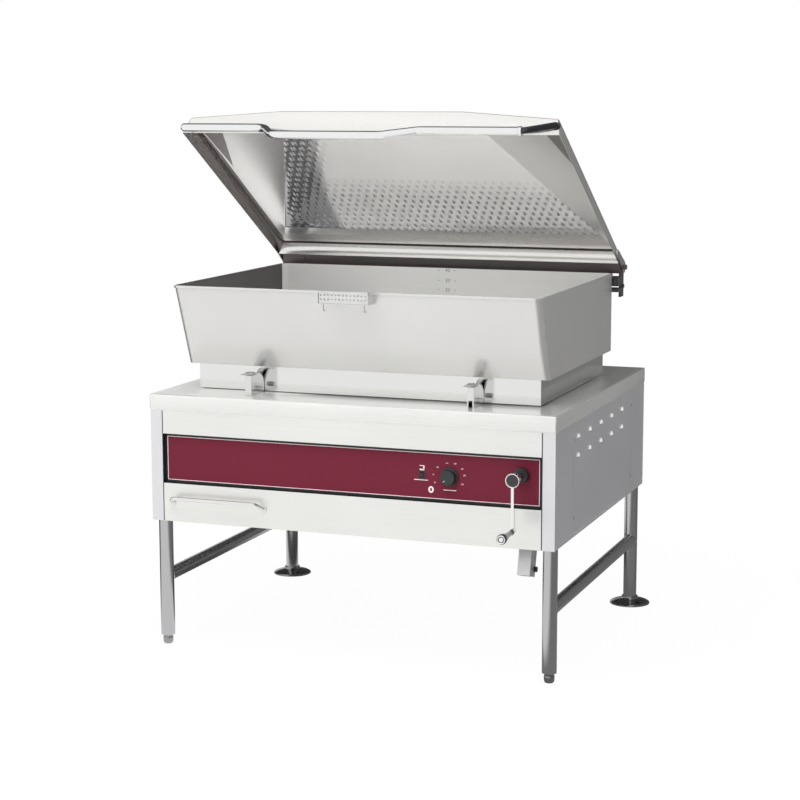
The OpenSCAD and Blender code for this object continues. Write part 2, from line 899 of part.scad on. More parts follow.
// Hinge block on the worktop: two cheeks, upright in front and round behind, joined by a web at the front
module hinge_block(x, web_from) {
    slot_half = ear_t / 2 + move_gap;
    web_t = 17;
    translate([x, tilt_y, tilt_z]) difference() {
        rotate([90, 0, 90]) translate([0, 0, -block_w / 2])
            linear_extrude(block_w) {
                difference() {
                    circle(r = block_r, $fn = 96);
                    translate([-block_r * 2, -block_r * 2 - tilt_above])
                        square(block_r * 2 * [2, 1]);
                }
                translate([-block_r, -tilt_above]) square([2 * block_r - 2, tilt_above]);
                translate([-block_r, -tilt_above])
                    square([block_r, tilt_above + block_r - block_cap]);
            }
        span([-slot_half, web_t - block_r, -tilt_above - overrun],
             [slot_half, 2 * block_r, 2 * block_r]);
        span([-slot_half, -2 * block_r, -tilt_above - overrun],
             [slot_half, block_r, web_from - tilt_above]);
        rotate([0, 90, 0])
            cylinder(h = 2 * block_w, r = tilt_pin_d / 2 + push_gap, center = true);
    }
}

module hinge_blocks() {
    color("gainsboro") from_front() {
        hinge_block(-hinge_left_x, 0);
        hinge_block(hinge_right_x, block_w);
    }
}

module tilt_pins() {
    stub = 11;
    color("silver") from_front()
        for (x = [-hinge_left_x, hinge_right_x])
            bar_x(x - block_w / 2 - stub / 4, x + block_w / 2 + stub, tilt_y, tilt_z,
                  tilt_pin_d / 2);
}

// Ears on the pan's base that turn on the tilt pins
module pan_ears() {
    eye = tilt_above - 1.5;
    drop = tilt_z - base_z;
    color("silver") from_front()
        for (x = [-hinge_left_x, hinge_right_x])
            difference() {
                union() {
                    bar_x(x - ear_t / 2, x + ear_t / 2, tilt_y, tilt_z, eye);
                    span([x - ear_t / 2, tilt_y, tilt_z - drop],
                         [x + ear_t / 2, base_front_y, tilt_z + eye]);
                }
                bar_x(x - ear_t, x + ear_t, tilt_y, tilt_z, tilt_pin_d / 2 + run_gap);
            }
}

// Boss and sleeve that carry the crank shaft in the control panel
module crank_bearing() {
    back = control_y + control_t + panel_t;
    nut_t = 6;
    color([0.12, 0.13, 0.13]) from_front() difference() {
        union() {
            bar_y(control_y - boss_out, control_y, crank_x, crank_z, boss_r);
            bar_y(control_y, back + nut_t, crank_x, crank_z, bearing_r);
            bar_y(back, back + nut_t, crank_x, crank_z, boss_r);
        }
        bar_y(control_y - 2 * boss_out, back + 2 * nut_t, crank_x, crank_z,
              crank_shaft_d / 2 + run_gap);
    }
}

// Box that turns the crank's motion through a right angle
module bevel_box() {
    h = box_half;
    front = box_pinion_r + move_gap + box_gear_t + move_gap + box_bearing;
    color("slategray") from_front() translate([crank_x, jack_y, jack_z]) difference() {
        union() {
            span([-h, -front, -h], [h, box_depth / 2, h]);
            span([-h + box_wall / 3, -front, leg_top - jack_z],
                 [-h + box_wall / 3 + box_foot_w, box_depth / 2, -h]);
        }
        span([-h + box_wall, -front + box_bearing, -h + box_wall],
             [h - box_wall, box_depth / 2 - box_wall, h - box_wall]);
        bar_y(-2 * front, 0, 0, 0, crank_shaft_d / 2 + run_gap);
        bar_x(-2 * h, 2 * h, 0, 0, cross_d / 2 + run_gap);
    }
}

// Upright plates that carry the jack's trunnions
module trunnion_brackets() {
    color("silver") from_front() translate([jack_x, jack_y, 0])
        for (x = [-bracket_out, bracket_in])
            difference() {
                union() {
                    span([x, -bracket_depth / 2, leg_top],
                         [x + bracket_t, bracket_depth / 2, jack_z]);
                    bar_x(x, x + bracket_t, 0, jack_z, bracket_round);
                }
                bar_x(x - overrun, x + bracket_t + overrun, 0, jack_z,
                      trunnion_r + run_gap);
            }
}

module crank_shaft() {
    color("silver") from_front()
        bar_y(hub_y + hub_t / 2, jack_y - box_pinion_r - move_gap - tooth_h, crank_x, crank_z,
              crank_shaft_d / 2);
}

module crank_gear() {
    back = jack_y - box_pinion_r - move_gap - box_gear_t;
    color("goldenrod") from_front() translate([crank_x, back, crank_z])
        rotate([-90, 0, 0]) difference() {
            crown(box_gear_r, box_gear_t, gear_teeth);
            translate([0, 0, -overrun])
                cylinder(h = box_gear_t + 2 * overrun, r = crank_shaft_d / 2 + push_gap);
        }
}

// Hub, arm and grip pin of the crank
module crank_arm_hub() {
    pin_end = -grip_reach + grip_cap + move_gap;
    color("silver") from_front() difference() {
        union() {
            bar_y(hub_y, hub_y + hub_t, crank_x, crank_z, hub_r);
            span([crank_x - arm_w / 2, hub_y + 1, crank_z - crank_arm],
                 [crank_x + arm_w / 2, hub_y + 1 + arm_t, crank_z]);
            bar_y(hub_y, hub_y + hub_t, crank_x, crank_z - crank_arm, arm_t / 2);
            bar_y(pin_end, hub_y, crank_x, crank_z - crank_arm, grip_pin_d / 2);
        }
        bar_y(hub_y + hub_t / 2, hub_y + 2 * hub_t, crank_x, crank_z,
              crank_shaft_d / 2 + push_gap);
    }
}

// Tapered grip that turns on the crank's pin
module crank_grip() {
    l = grip_reach + grip_y;
    edge = 3;
    color([0.15, 0.15, 0.16]) from_front()
        translate([crank_x, grip_y, crank_z - crank_arm]) rotate([90, 0, 0])
            rotate_extrude()
                polygon([
                    [grip_pin_d / 2 + run_gap, 0], [grip_thin_r, 0],
                    [grip_thin_r + edge / 3, l / 3], [grip_thick_r, l - grip_thick_r],
                    [grip_thick_r, l - edge], [grip_thick_r - edge, l], [0, l],
                    [0, l - grip_cap], [grip_pin_d / 2 + run_gap, l - grip_cap]
                ]);
}

// Cross shaft with its two pinions, in line with the jack's trunnions
module cross_shaft() {
    inner_end = nut_r + move_gap;
    box_pinion_x = crank_x + box_gear_r - box_pinion_l;
    color("silver") from_front() {
        bar_x(jack_x + inner_end, crank_x + box_half + move_gap, jack_y, jack_z, cross_d / 2);
        translate([jack_x + inner_end, jack_y, jack_z]) rotate([0, 90, 0])
            pinion(pinion_r, pinion_l, pinion_teeth);
        translate([box_pinion_x, jack_y, jack_z]) rotate([0, 90, 0])
            pinion(box_pinion_r, box_pinion_l, pinion_teeth);
    }
}

// Housing that swings on two trunnions and holds the drive nut
module jack_housing() {
    color("slategray") on_jack() difference() {
        union() {
            span([-case_half, -case_half, -case_down], [case_half, case_half, case_up]);
            bar_x(-bracket_out, bracket_out, 0, 0, trunnion_r);
        }
        translate([0, 0, -case_down + case_wall])
            cylinder(h = case_up + case_down - 2 * case_wall, r = case_half - case_wall);
        translate([0, 0, -2 * case_down]) cylinder(h = 4 * case_down, r = screw_r + 1);
        bar_x(0, 2 * bracket_out, 0, 0, cross_d / 2 + run_gap);
    }
}

// Rectangular tube that guards the screw below the housing
module guard_tube() {
    bottom = -(screw_l - jack_short) - guard_spare - guard_cap;
    w = guard_w / 2;
    d = guard_d / 2;
    color("silver") on_jack() difference() {
        span([-w, -d, bottom], [w, d, -case_down]);
        span([-w + guard_wall, -d + guard_wall, bottom + guard_cap],
             [w - guard_wall, d - guard_wall, -case_down + overrun]);
        guard_bolt_hole(bottom);
    }
}

// Hole for the bolt through the guard tube's lower end
module guard_bolt_hole(bottom) {
    translate([0, 0, bottom])
        bar_x(-guard_w, guard_w, bolt_back, bolt_up, guard_bolt_d / 2 + push_gap);
}

module guard_bolt() {
    bottom = -(screw_l - jack_short) - guard_spare - guard_cap;
    w = guard_w / 2;
    head = 8;
    color([0.08, 0.08, 0.08]) on_jack() translate([0, 0, bottom]) {
        bar_x(-w - head / 2, w + head, bolt_back, bolt_up, guard_bolt_d / 2);
        bar_x(w, w + head, bolt_back, bolt_up, bolt_head_r);
        bar_x(-w - head / 2, -w, bolt_back, bolt_up, bolt_head_r * 3 / 4);
    }
}

// Nut with a crown wheel, turned by the cross shaft's pinion
module drive_nut() {
    low = -case_down + case_wall + move_gap;
    color("goldenrod") on_jack() difference() {
        union() {
            translate([0, 0, low]) cylinder(h = nut_up - low, r = nut_r);
            translate([0, 0, crown_top - crown_t]) crown(crown_r, crown_t, gear_teeth);
        }
        translate([0, 0, low - overrun])
            cylinder(h = nut_up - low + 2 * overrun, r = screw_r + move_gap);
    }
}

// Screw of the jack with the eye at its upper end
module jack_screw() {
    color("silver") on_jack() difference() {
        union() {
            translate([0, 0, jack_short - screw_l]) cylinder(h = screw_l, r = screw_r);
            bar_x(-eye_half, eye_half, 0, jack_short, eye_r);
        }
        bar_x(-2 * eye_half, 2 * eye_half, 0, jack_short, lift_pin_d / 2 + run_gap);
    }
}

// Beam under the pan with two ears for the jack's upper pin
module lift_beam() {
    ear_in = eye_half + eye_slack;
    ear_out = ear_in + ear_plate;
    beam_y = lift_y + beam_back;
    beam_top = lift_z + eye_r + insulation_drop;
    end_x = base_half - base_t - seam / 2;
    color("silver") from_front() {
        tube_along([-end_x, beam_y, beam_top - beam_w], [end_x, beam_y + beam_w, beam_top],
                   beam_wall, 0);
        for (x = [jack_x - ear_out, jack_x + ear_in])
            difference() {
                union() {
                    span([x, lift_y, lift_z - eye_r], [x + ear_plate, beam_y, lift_z + eye_r]);
                    bar_x(x, x + ear_plate, lift_y, lift_z, eye_r);
                }
                bar_x(x - overrun, x + ear_plate + overrun, lift_y, lift_z,
                      lift_pin_d / 2 + push_gap);
            }
    }
}

module lift_pin() {
    reach = eye_half + eye_slack + ear_plate + 2;
    color("silver") from_front()
        bar_x(jack_x - reach, jack_x + reach, lift_y, lift_z, lift_pin_d / 2);
}

// Depth of the pan's front wall at a height
function pan_wall_y(z) = pan_front_y + (pan_rim - z) * pan_slope;

// Solid with the pan's outline between two heights, drawn in by an inset
module pan_form(z0, z1, inset) {
    r = pan_corner_r - inset;
    x = pan_half - inset - r;
    hull($fn = fn_hull)
        for (z = [z0, z1 - form_edge], sx = [-1, 1]) {
            translate([sx * x, pan_wall_y(z) + inset + r, z]) cylinder(h = form_edge, r = r);
            translate([sx * x, pan_rear_y - inset - r, z]) cylinder(h = form_edge, r = r);
        }
}

module pan_shell() {
    color("silver") from_front() difference() {
        union() {
            pan_form(pan_bottom, pan_rim, 0);
            pan_form(pan_rim - band_h, pan_rim, -band_out);
        }
        pan_form(pan_bottom - overrun, pan_rim + overrun, pan_t);
        span([lip_x - lip_w / 2 + lip_t, -lip_out, pan_rim - lip_h + lip_t],
             [lip_x + lip_w / 2 - lip_t, pan_foot_y, pan_rim + overrun]);
    }
}

module cooking_plate() {
    color("dimgray") from_front()
        pan_form(pan_bottom, pan_bottom + plate_t, pan_t + push_gap * 5);
}

// Flat heating elements clamped under the cooking plate
module heating_elements() {
    first = base_front_y + element_w;
    step = (base_rear_y - base_front_y - 2 * element_w) / (element_count - 1);
    x = base_half - element_w;
    color("dimgray") from_front()
        for (i = [0 : element_count - 1])
            span([-x, first + i * step - element_w / 2, pan_bottom - element_h],
                 [x, first + i * step + element_w / 2, pan_bottom]);
}

module insulation() {
    top = pan_bottom - element_h;
    x = base_half - base_t - seam;
    color("wheat") from_front()
        span([-x, base_front_y + base_t + seam, top - insulation_t],
             [x, base_rear_y - base_t - seam, top]);
}

// Sheet box under the pan, open at the top, with a slot for the screw
module pan_base() {
    color("gainsboro") from_front() difference() {
        span([-base_half, base_front_y, base_z], [base_half, base_rear_y, pan_bottom]);
        span([-base_half + base_t, base_front_y + base_t, base_z + base_t],
             [base_half - base_t, base_rear_y - base_t, pan_bottom + overrun]);
        span([jack_x - base_slot_w / 2, base_slot_front_y, base_z - overrun],
             [jack_x + base_slot_w / 2, base_slot_rear_y, base_z + 2 * overrun]);
    }
}

// Pouring channel in front of the notch in the rim
module pour_lip() {
    x0 = lip_x - lip_w / 2;
    x1 = lip_x + lip_w / 2;
    y0 = pan_front_y - lip_out;
    z0 = pan_rim - lip_h;
    color("silver") from_front() difference() {
        span([x0, y0, z0], [x1, pan_foot_y, pan_rim]);
        span([x0 + lip_t, y0 - overrun, z0 + lip_t],
             [x1 - lip_t, pan_foot_y + overrun, pan_rim + overrun]);
        pan_form(pan_bottom, pan_rim + overrun, 0);
        pan_form(pan_rim - band_h, pan_rim + overrun, -band_out);
    }
}

// Two bent hooks under the pour lip
module lip_hooks() {
    hook_r = 2.5;
    hook_drop = 20;
    hook_in = 14;
    hook_back = 24;
    y = pan_front_y - lip_out + 2 * hook_r;
    z = pan_rim - lip_h;
    color("silver") from_front()
        for (x = [lip_x - lip_w / 2 + hook_in, lip_x + lip_w / 2 - hook_in]) {
            rod([x, y, z - hook_drop], [x, y, z], hook_r);
            translate([x, y, z - hook_drop]) sphere(r = hook_r);
            rod([x, y, z - hook_drop], [x, y + hook_back, z - hook_drop], hook_r);
        }
}

// Perforated plate that drops into the pour lip
module strainer() {
    gap = 0.5;
    x0 = lip_x - lip_w / 2 + lip_t + gap;
    x1 = lip_x + lip_w / 2 - lip_t - gap;
    y0 = pan_front_y - lip_out + lip_t;
    z0 = pan_rim - lip_h + lip_t + gap / 2;
    z1 = pan_rim + 2 * lip_t;
    wing = 24;
    n = floor((x1 - x0 - strainer_pitch) / strainer_pitch);
    first = lip_x - strainer_pitch * n / 2;
    color("gainsboro") from_front() {
        difference() {
            span([x0, y0, z0], [x1, y0 + lip_t, z1]);
            for (i = [0 : n], j = [1, 2])
                bar_y(y0 - overrun, y0 + lip_t + overrun, first + i * strainer_pitch,
                      z0 + j * (z1 - z0) / 3, strainer_hole_d / 2);
        }
        for (x = [x0, x1 - lip_t])
            span([x, y0 + lip_t, z0], [x + lip_t, y0 + wing, z1 - lip_t]);
    }
}

// Square tube across the rear that holds the lid's counterbalance and hinge pins
module hinge_tube() {
    low = [-tube_end_x, lid_axis_y - tube_half, lid_axis_z - tube_half];
    high = [tube_end_x, lid_axis_y + tube_half, lid_axis_z + tube_half];
    plug = 20;
    color([0.35, 0.31, 0.31]) from_front() {
        tube_along(low, high, tube_wall, 0);
        both_sides() {
            span([tube_end_x - plug, low[1] + tube_wall / 2, low[2] + tube_wall / 2],
                 [tube_end_x, high[1] - tube_wall / 2, high[2] - tube_wall / 2]);
            bar_x(tube_end_x - plug, pin_end_x, lid_axis_y, lid_axis_z, lid_pin_d / 2);
        }
    }
}

// Brackets that carry the hinge tube on the pan's rear wall
module hinge_tube_brackets() {
    x1 = tube_end_x;
    x0 = pan_half - bracket_arm_in;
    top = lid_axis_z - tube_half;
    rear = lid_axis_y + tube_half;
    color([0.3, 0.29, 0.3]) from_front() both_sides() {
        span([x0, pan_rear_y, top - bracket_arm_h], [x1, lid_axis_y, top - band_h - seam]);
        span([x0, pan_rear_y, top - bracket_bar_drop - bracket_bar_h],
             [x1, lid_axis_y, top - bracket_bar_drop]);
        span([x1 - bracket_plate_t, lid_axis_y - tube_half, top - bracket_plate_h],
             [x1, rear, top]);
        bar_x(x1, x1 + bracket_plate_t, lid_axis_y, top - bracket_arm_h - bracket_plate_t / 2,
              bracket_plate_t);
    }
}

// Outer faces of the lid's side and front skirts at a height above its lower edge
function lid_side_x(h) = lid_half - lid_lean * h / lid_skirt_h;
function lid_face_y(h) = lid_front_y + lid_front_lean * h / lid_skirt_h;

// Points of the lid's solid, all planes moved inwards by t
function lid_points(t, low) = let (
        h1 = lid_skirt_h - t,
        h2 = lid_skirt_h + lid_crown - t,
        h3 = lid_rear_h - t,
        x0 = lid_side_x(low) - t,
        x1 = lid_side_x(h1) - t,
        x3 = lid_side_x(h3) - t,
        y0 = lid_face_y(low) + t,
        y1 = lid_face_y(h1) + t,
        y2 = lid_face_y(h2) + t,
        yr = lid_rear_y - t,
        yc = lid_rear_y - lid_crease
    ) [
        [-x0, y0, low], [x0, y0, low], [x0, yr, low], [-x0, yr, low],
        [-x1, y1, h1], [x1, y1, h1], [x1, yc, h1], [-x1, yc, h1],
        [-crease_x, y2, h2], [crease_x, y2, h2], [x3, yr, h3], [-x3, yr, h3]
    ];

// A shallow roof: flat middle, a slanted triangle on each side, a slanted rear strip
module lid_form(t, low) {
    polyhedron(
        points = lid_points(t, low),
        faces = [
            [0, 1, 2, 3], [1, 0, 4, 8, 9, 5], [2, 1, 5, 6, 10], [3, 2, 10, 11],
            [0, 3, 11, 7, 4], [4, 7, 8], [9, 6, 5], [8, 7, 6, 9], [7, 11, 10, 6]
        ]
    );
}

module lid_shell() {
    color("silver") on_lid() translate([0, 0, lid_rim]) difference() {
        lid_form(0, 0);
        lid_form(lid_t, -overrun);
    }
}

// Centre line of the handle, counted on the shut lid
function handle_line() = let (
        y0 = lid_front_y - handle_gap_y,
        y1 = lid_front_y - handle_bow_y,
        y2 = lid_front_y - handle_right_y,
        z0 = lid_rim - handle_drop,
        z1 = lid_rim - handle_bow_drop,
        z2 = lid_rim - handle_right_drop
    ) [
        [-handle_left_x, y0, z0], [-handle_jog_left, y0, z0], [-handle_jog_right, y1, z1],
        [handle_back_left, y1, z1], [handle_back_right, y2, z2], [handle_tube_end, y2, z2],
        [handle_last, lid_face_y(handle_end_up) - handle_thin_r - handle_bead,
         lid_rim + handle_end_up]
    ];

// Bent handle along the lid's front edge, with the flat posts that carry it
module lid_handle() {
    p = handle_line();
    last = len(p) - 1;
    color("gainsboro") on_lid() {
        for (i = [0 : last - 1])
            rod(p[i], p[i + 1], i == last - 1 ? handle_thin_r : handle_r);
        for (i = [0 : last])
            translate(p[i]) rotate([45, 0, 0]) rotate([0, 90, 0])
                sphere(r = handle_bead + (i == last ? handle_thin_r : handle_r));
        for (x = [-handle_left_x + handle_d, -handle_jog_left - handle_d])
            handle_post(x, lid_front_y - handle_gap_y, handle_drop);
        handle_post(handle_tube_end - handle_d, lid_front_y - handle_right_y, handle_right_drop);
    }
}

// Flat post from the handle's axis, at a depth and a drop below the rim, to the front skirt
module handle_post(x, y, drop) {
    translate([x - handle_post_w / 2, 0, lid_rim]) rotate([90, 0, 90])
        linear_extrude(handle_post_w)
            polygon([
                [y, -drop], [lid_front_y, 0], [lid_face_y(handle_post_h), handle_post_h],
                [y, handle_post_h - drop]
            ]);
}

// Flat straps outside the lid's skirts, each with an eye on a hinge pin
module lid_straps() {
    tip_y = lid_axis_y - strap_l;
    tip_z = lid_rim + lid_rear_h / 3;
    color("silver") on_lid() both_sides() difference() {
        translate([strap_x, 0, 0]) rotate([90, 0, 90]) linear_extrude(strap_t)
            hull($fn = fn_hull) {
                translate([lid_axis_y, lid_axis_z]) circle(r = strap_eye_r);
                translate([tip_y, tip_z]) circle(r = strap_tip_r);
            }
        bar_x(strap_x - overrun, strap_x + strap_t + overrun, lid_axis_y, lid_axis_z,
              lid_pin_d / 2 + run_gap);
    }
}

base_frame();
leg_plugs();
leg_front_left();
leg_front_right();
leg_rear_left();
leg_rear_right();
stretcher_left();
stretcher_right();
floor_flange_left();
floor_flange_right();
foot_left();
foot_right();
worktop();
side_panel_left();
side_panel_right();
access_panel_left();
access_panel_right();
back_panel();
upper_front_panel();
lower_front_panel();
control_recess();
control_panel();
thermostat_body();
switch_housing();
contactor_box();
bar_handle();
hinge_blocks();
tilt_pins();
crank_bearing();
bevel_box();
trunnion_brackets();
panel_screws();
crank_shaft();
crank_gear();
crank_arm_hub();
crank_grip();
cross_shaft();
jack_housing();
guard_tube();
guard_bolt();
drive_nut();
jack_screw();
pan_shell();
cooking_plate();
heating_elements();
insulation();
pan_base();
pan_ears();
pour_lip();
lip_hooks();
lift_beam();
lift_pin();
hinge_tube();
hinge_tube_brackets();
strainer();
lid_shell();
lid_handle();
lid_straps();
thermostat_knob();
rocker();
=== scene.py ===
import math

import bmesh
import bpy
import numpy as np
from mathutils import Matrix, Vector


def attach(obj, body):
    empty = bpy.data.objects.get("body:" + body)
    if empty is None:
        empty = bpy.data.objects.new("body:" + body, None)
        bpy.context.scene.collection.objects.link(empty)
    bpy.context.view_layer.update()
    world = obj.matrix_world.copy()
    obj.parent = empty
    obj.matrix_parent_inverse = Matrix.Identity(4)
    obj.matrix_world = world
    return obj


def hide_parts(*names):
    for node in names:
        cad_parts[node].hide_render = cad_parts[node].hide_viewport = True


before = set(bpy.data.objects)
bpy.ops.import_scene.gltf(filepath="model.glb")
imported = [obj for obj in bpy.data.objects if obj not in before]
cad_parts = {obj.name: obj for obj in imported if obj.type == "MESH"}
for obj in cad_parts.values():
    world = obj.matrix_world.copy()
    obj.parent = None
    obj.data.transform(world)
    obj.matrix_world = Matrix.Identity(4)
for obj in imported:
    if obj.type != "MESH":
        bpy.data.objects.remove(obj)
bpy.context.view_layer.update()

# Legs and side stretchers: four round stainless tubes, 41 mm across, that plug into the frame, and two
# thinner tubes between them, cut to the legs' round and welded. The fine grain runs along each tube.
front = -0.425
leg_x, leg_r = 0.58465, 0.02065
leg_front_y, leg_rear_y = front + 0.041, front + 0.963
stretcher_z, stretcher_r = 0.205, 0.01905
bead_r, ripple_r, ripples = 0.0021, 0.00035, 16
tube_grey = (0.50, 0.50, 0.51)
crease = 32


class Signal:
    """An output of a shader node. Sums and products with numbers or other signals add Math nodes."""

    def __init__(self, finish, socket):
        self.finish, self.socket = finish, socket

    def maths(self, operation, first, second):
        return self.finish.node("ShaderNodeMath", {"operation": operation}, {0: first, 1: second})

    def __add__(self, other):
        return self.maths("ADD", self, other)

    def __sub__(self, other):
        return self.maths("SUBTRACT", self, other)

    def __mul__(self, other):
        return self.maths("MULTIPLY", self, other)

    def __rsub__(self, other):
        return self.maths("SUBTRACT", other, self)

    __radd__, __rmul__ = __add__, __mul__


class Finish:
    """The nodes of a new material or of the room, and the one shader that they start with."""

    def __init__(self, owner, **constants):
        """Constants go on the shader's own sockets, named with _ for a space."""
        owner.use_nodes = True
        self.owner, self.tree = owner, owner.node_tree
        self.shader = next(node for node in self.tree.nodes if not node.type.startswith("OUTPUT"))
        self.paint(**constants)

    def node(self, kind, settings=None, inputs=None, output=0):
        """Adds a node with its settings, feeds its sockets, and returns one of its outputs as a signal."""
        made = self.tree.nodes.new(kind)
        for key, value in (settings or {}).items():
            setattr(made, key, value)
        for key, value in (inputs or {}).items():
            self.feed(made.inputs[key], value)
        return Signal(self, made.outputs[output])

    def feed(self, socket, value):
        """Links a signal to a socket, or sets the socket to a number or colour."""
        if isinstance(value, Signal):
            self.tree.links.new(value.socket, socket)
        elif hasattr(value, "__len__") and len(value) == 3 and socket.type == "RGBA":
            socket.default_value = (*value, 1)
        else:
            socket.default_value = value

    def paint(self, **sockets):
        """Feeds the shader's sockets, named with _ for a space."""
        for name, value in sockets.items():
            self.feed(self.shader.inputs[name.replace("_", " ")], value)


def satin(name, colour, roughness, grain, streak=0.05, cloud=0.06, lift=0.00012, metal=1.0, painted_light_and_shade=()):
    """Ground steel: noise stretched along the grain shades the colour and roughness by a few per cent,
    wide soft clouds stand for handling marks, and the same lines raise a very low bump. Walls that look
    inwards along x or y (place * normal below -0.15), or a named attribute of the mesh, can bring in their
    own colour and metallic share, which paints light, shade or a reflection onto those faces."""
    made = Finish(bpy.data.materials.new(name), Anisotropic=0.35)
    place = made.node("ShaderNodeTexCoord", output="Object")
    along = made.node("ShaderNodeMapping", {}, {"Vector": place, "Scale": grain})
    lines = made.node("ShaderNodeTexNoise", {}, {
        "Vector": along, "Scale": 1.0, "Detail": 4.0, "Roughness": 0.7})
    clouds = made.node("ShaderNodeTexNoise", {}, {"Vector": place, "Scale": 3.1, "Detail": 3.0})
    shade = 1 + (lines - 0.5) * (2 * streak) + (clouds - 0.5) * (2 * cloud)
    # Each entry paints light, shade or a reflection into the colour and metallic share of the faces it picks.
    for axis, painted_colour, painted_metal in painted_light_and_shade:
        if isinstance(axis, str):
            inward = made.node("ShaderNodeAttribute", {"attribute_name": axis}, output="Fac")
        else:
            faces = made.node("ShaderNodeTexCoord", output="Normal")
            outward = made.node("ShaderNodeVectorMath", {"operation": "MULTIPLY"}, {0: place, 1: faces})
            outward = made.node("ShaderNodeSeparateXYZ", {}, {0: outward}, axis)
            inward = made.node("ShaderNodeMath", {"operation": "LESS_THAN"}, {0: outward, 1: -0.15})
        colour = made.node("ShaderNodeMix", {"data_type": "RGBA"},
                           {"Factor": inward, 6: colour, 7: painted_colour}, 2)
        metal = metal + inward * (painted_metal - metal)
    made.paint(
        Base_Color=made.node("ShaderNodeVectorMath", {"operation": "SCALE"}, {0: colour, "Scale": shade}),
        Metallic=metal,
        Roughness=roughness + (lines - 0.5) * 0.06 + (clouds - 0.5) * 0.08,
        Normal=made.node("ShaderNodeBump", {}, {"Strength": 0.35, "Distance": lift, "Height": lines}),
    )
    return made.owner


def dress(node, material, edge=0.0005):
    """Gives a CAD node its material and real edges: its loose triangles are welded together by a modifier,
    and each edge sharper than the crease angle is rounded by a bevel of that width."""
    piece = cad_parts[node]
    piece.data.materials.clear()
    piece.data.materials.append(material)
    piece.data.polygons.foreach_set("use_smooth", np.ones(len(piece.data.polygons), bool))
    if "custom_normal" in piece.data.attributes:
        piece.data.attributes.remove(piece.data.attributes["custom_normal"])
    weld = piece.modifiers.new("weld", "WELD")
    weld.merge_threshold = 1e-6
    bevel = piece.modifiers.new("edges", "BEVEL")
    bevel.width, bevel.segments, bevel.limit_method = edge, 2, "ANGLE"
    bevel.angle_limit, bevel.harden_normals = math.radians(crease), True
    bevel.use_clamp_overlap = True


def hang(name, mesh, material, body, slot, smooth=crease):
    """Shades a finished mesh smooth up to that angle, gives it its finish and hangs it on its body."""
    mesh.polygons.foreach_set("use_smooth", np.ones(len(mesh.polygons), bool))
    mesh.set_sharp_from_angle(angle=math.radians(smooth))
    mesh.materials.append(material)
    piece = bpy.data.objects.new(name, mesh)
    bpy.context.scene.collection.objects.link(piece)
    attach(piece, body)
    return piece


def place_piece(name, mesh, *look, smooth=crease):
    """Merges doubles, turns the faces outwards, and hangs the mesh with its look: material, body and slot;
    the slot is not used.
    """
    work = bmesh.new()
    work.from_mesh(mesh)
    bmesh.ops.remove_doubles(work, verts=work.verts, dist=1e-6)
    bmesh.ops.recalc_face_normals(work, faces=work.faces)
    work.to_mesh(mesh)
    work.free()
    return hang(name, mesh, *look, smooth)


def faces_of(index, round_u=False, round_v=False):
    """The faces of a grid of point numbers, rows by columns: every four neighbours make one. round_u joins
    the last row to the first, round_v the last column to the first."""
    index = np.vstack([index, index[:1]]) if round_u else index
    index = np.hstack([index, index[:, :1]]) if round_v else index
    faces = np.stack([index[:-1, :-1], index[1:, :-1], index[1:, 1:], index[:-1, 1:]], -1)
    return faces.reshape(-1, 4).tolist()


def joined(name, grids, *look, smooth=crease):
    """One piece from several grids, each of points, round_u, round_v, and the end rows to close, 0 or -1."""
    corners, faces, start = [], [], 0
    for points, round_u, round_v, shut in grids:
        rows, columns = points.shape[:2]
        index = start + np.arange(rows * columns).reshape(rows, columns)
        faces += faces_of(index, round_u, round_v) + [index[end].tolist() for end in shut]
        corners.append(points.reshape(-1, 3))
        start += rows * columns
    mesh = bpy.data.meshes.new(name)
    mesh.from_pydata(np.concatenate(corners).tolist(), [], faces)
    return place_piece(name, mesh, *look, smooth=smooth)


def surface(name, points, *look, round_u=False, round_v=True, shut=(), smooth=crease):
    """One piece from one grid of points."""
    return joined(name, [(points, round_u, round_v, shut)], *look, smooth=smooth)


def carried(path, radius, sides=20, up=(0, 0, 1), round_path=False, flat=1.0):
    """A round section carried along a path: at each point the ring lies square to the path's direction,
    centre + radius * (cos a * side + flat * sin a * top). Radius is one number or one for each point."""
    path = np.asarray(path, float)
    if round_path:
        along = np.roll(path, -1, 0) - np.roll(path, 1, 0)
    else:
        along = np.gradient(path, axis=0)
    along /= np.linalg.norm(along, axis=1, keepdims=True)
    side = np.cross(along, np.asarray(up, float))
    side /= np.linalg.norm(side, axis=1, keepdims=True)
    top = np.cross(side, along)
    turn = np.linspace(0, 2 * np.pi, sides, endpoint=False)
    size = np.broadcast_to(np.asarray(radius, float), len(path))[:, None, None]
    ring = np.cos(turn)[None, :, None] * side[:, None] + flat * np.sin(turn)[None, :, None] * top[:, None]
    return path[:, None] + size * ring


tube_steel = satin("tube steel", tube_grey, 0.17, (240, 240, 6))
stretcher_steel = satin("stretcher steel", tube_grey, 0.27, (240, 6, 240))
weld_steel = satin("weld bead", (0.50, 0.49, 0.47), 0.38, (300, 300, 300), 0.12, 0.15)
for corner in ("front_left", "front_right", "rear_left", "rear_right"):
    dress("leg_" + corner, tube_steel)
for side in ("left", "right"):
    dress("stretcher_" + side, stretcher_steel)
# A seam is the stretcher's circle laid on the leg's round: root of (leg radius squared - across squared)
# gives how far the leg's skin stands out. The bead's radius goes up and down round the seam.
turn = np.linspace(0, 2 * np.pi, 64, endpoint=False)
across, high = stretcher_r * np.sin(turn), stretcher_r * np.cos(turn)
skin = np.sqrt(leg_r ** 2 - across ** 2)
beads = []
for side in (-1, 1):
    for leg_y, inward in ((leg_front_y, 1), (leg_rear_y, -1)):
        seam = np.stack([side * leg_x + across, leg_y + inward * skin, stretcher_z + high], -1)
        bead = carried(seam, bead_r + ripple_r * np.sin(ripples * turn), 10, (0, 1, 0), True)
        beads.append((bead, True, True, ()))
joined("stretcher_welds", beads, weld_steel, "stand", "tube_steel")

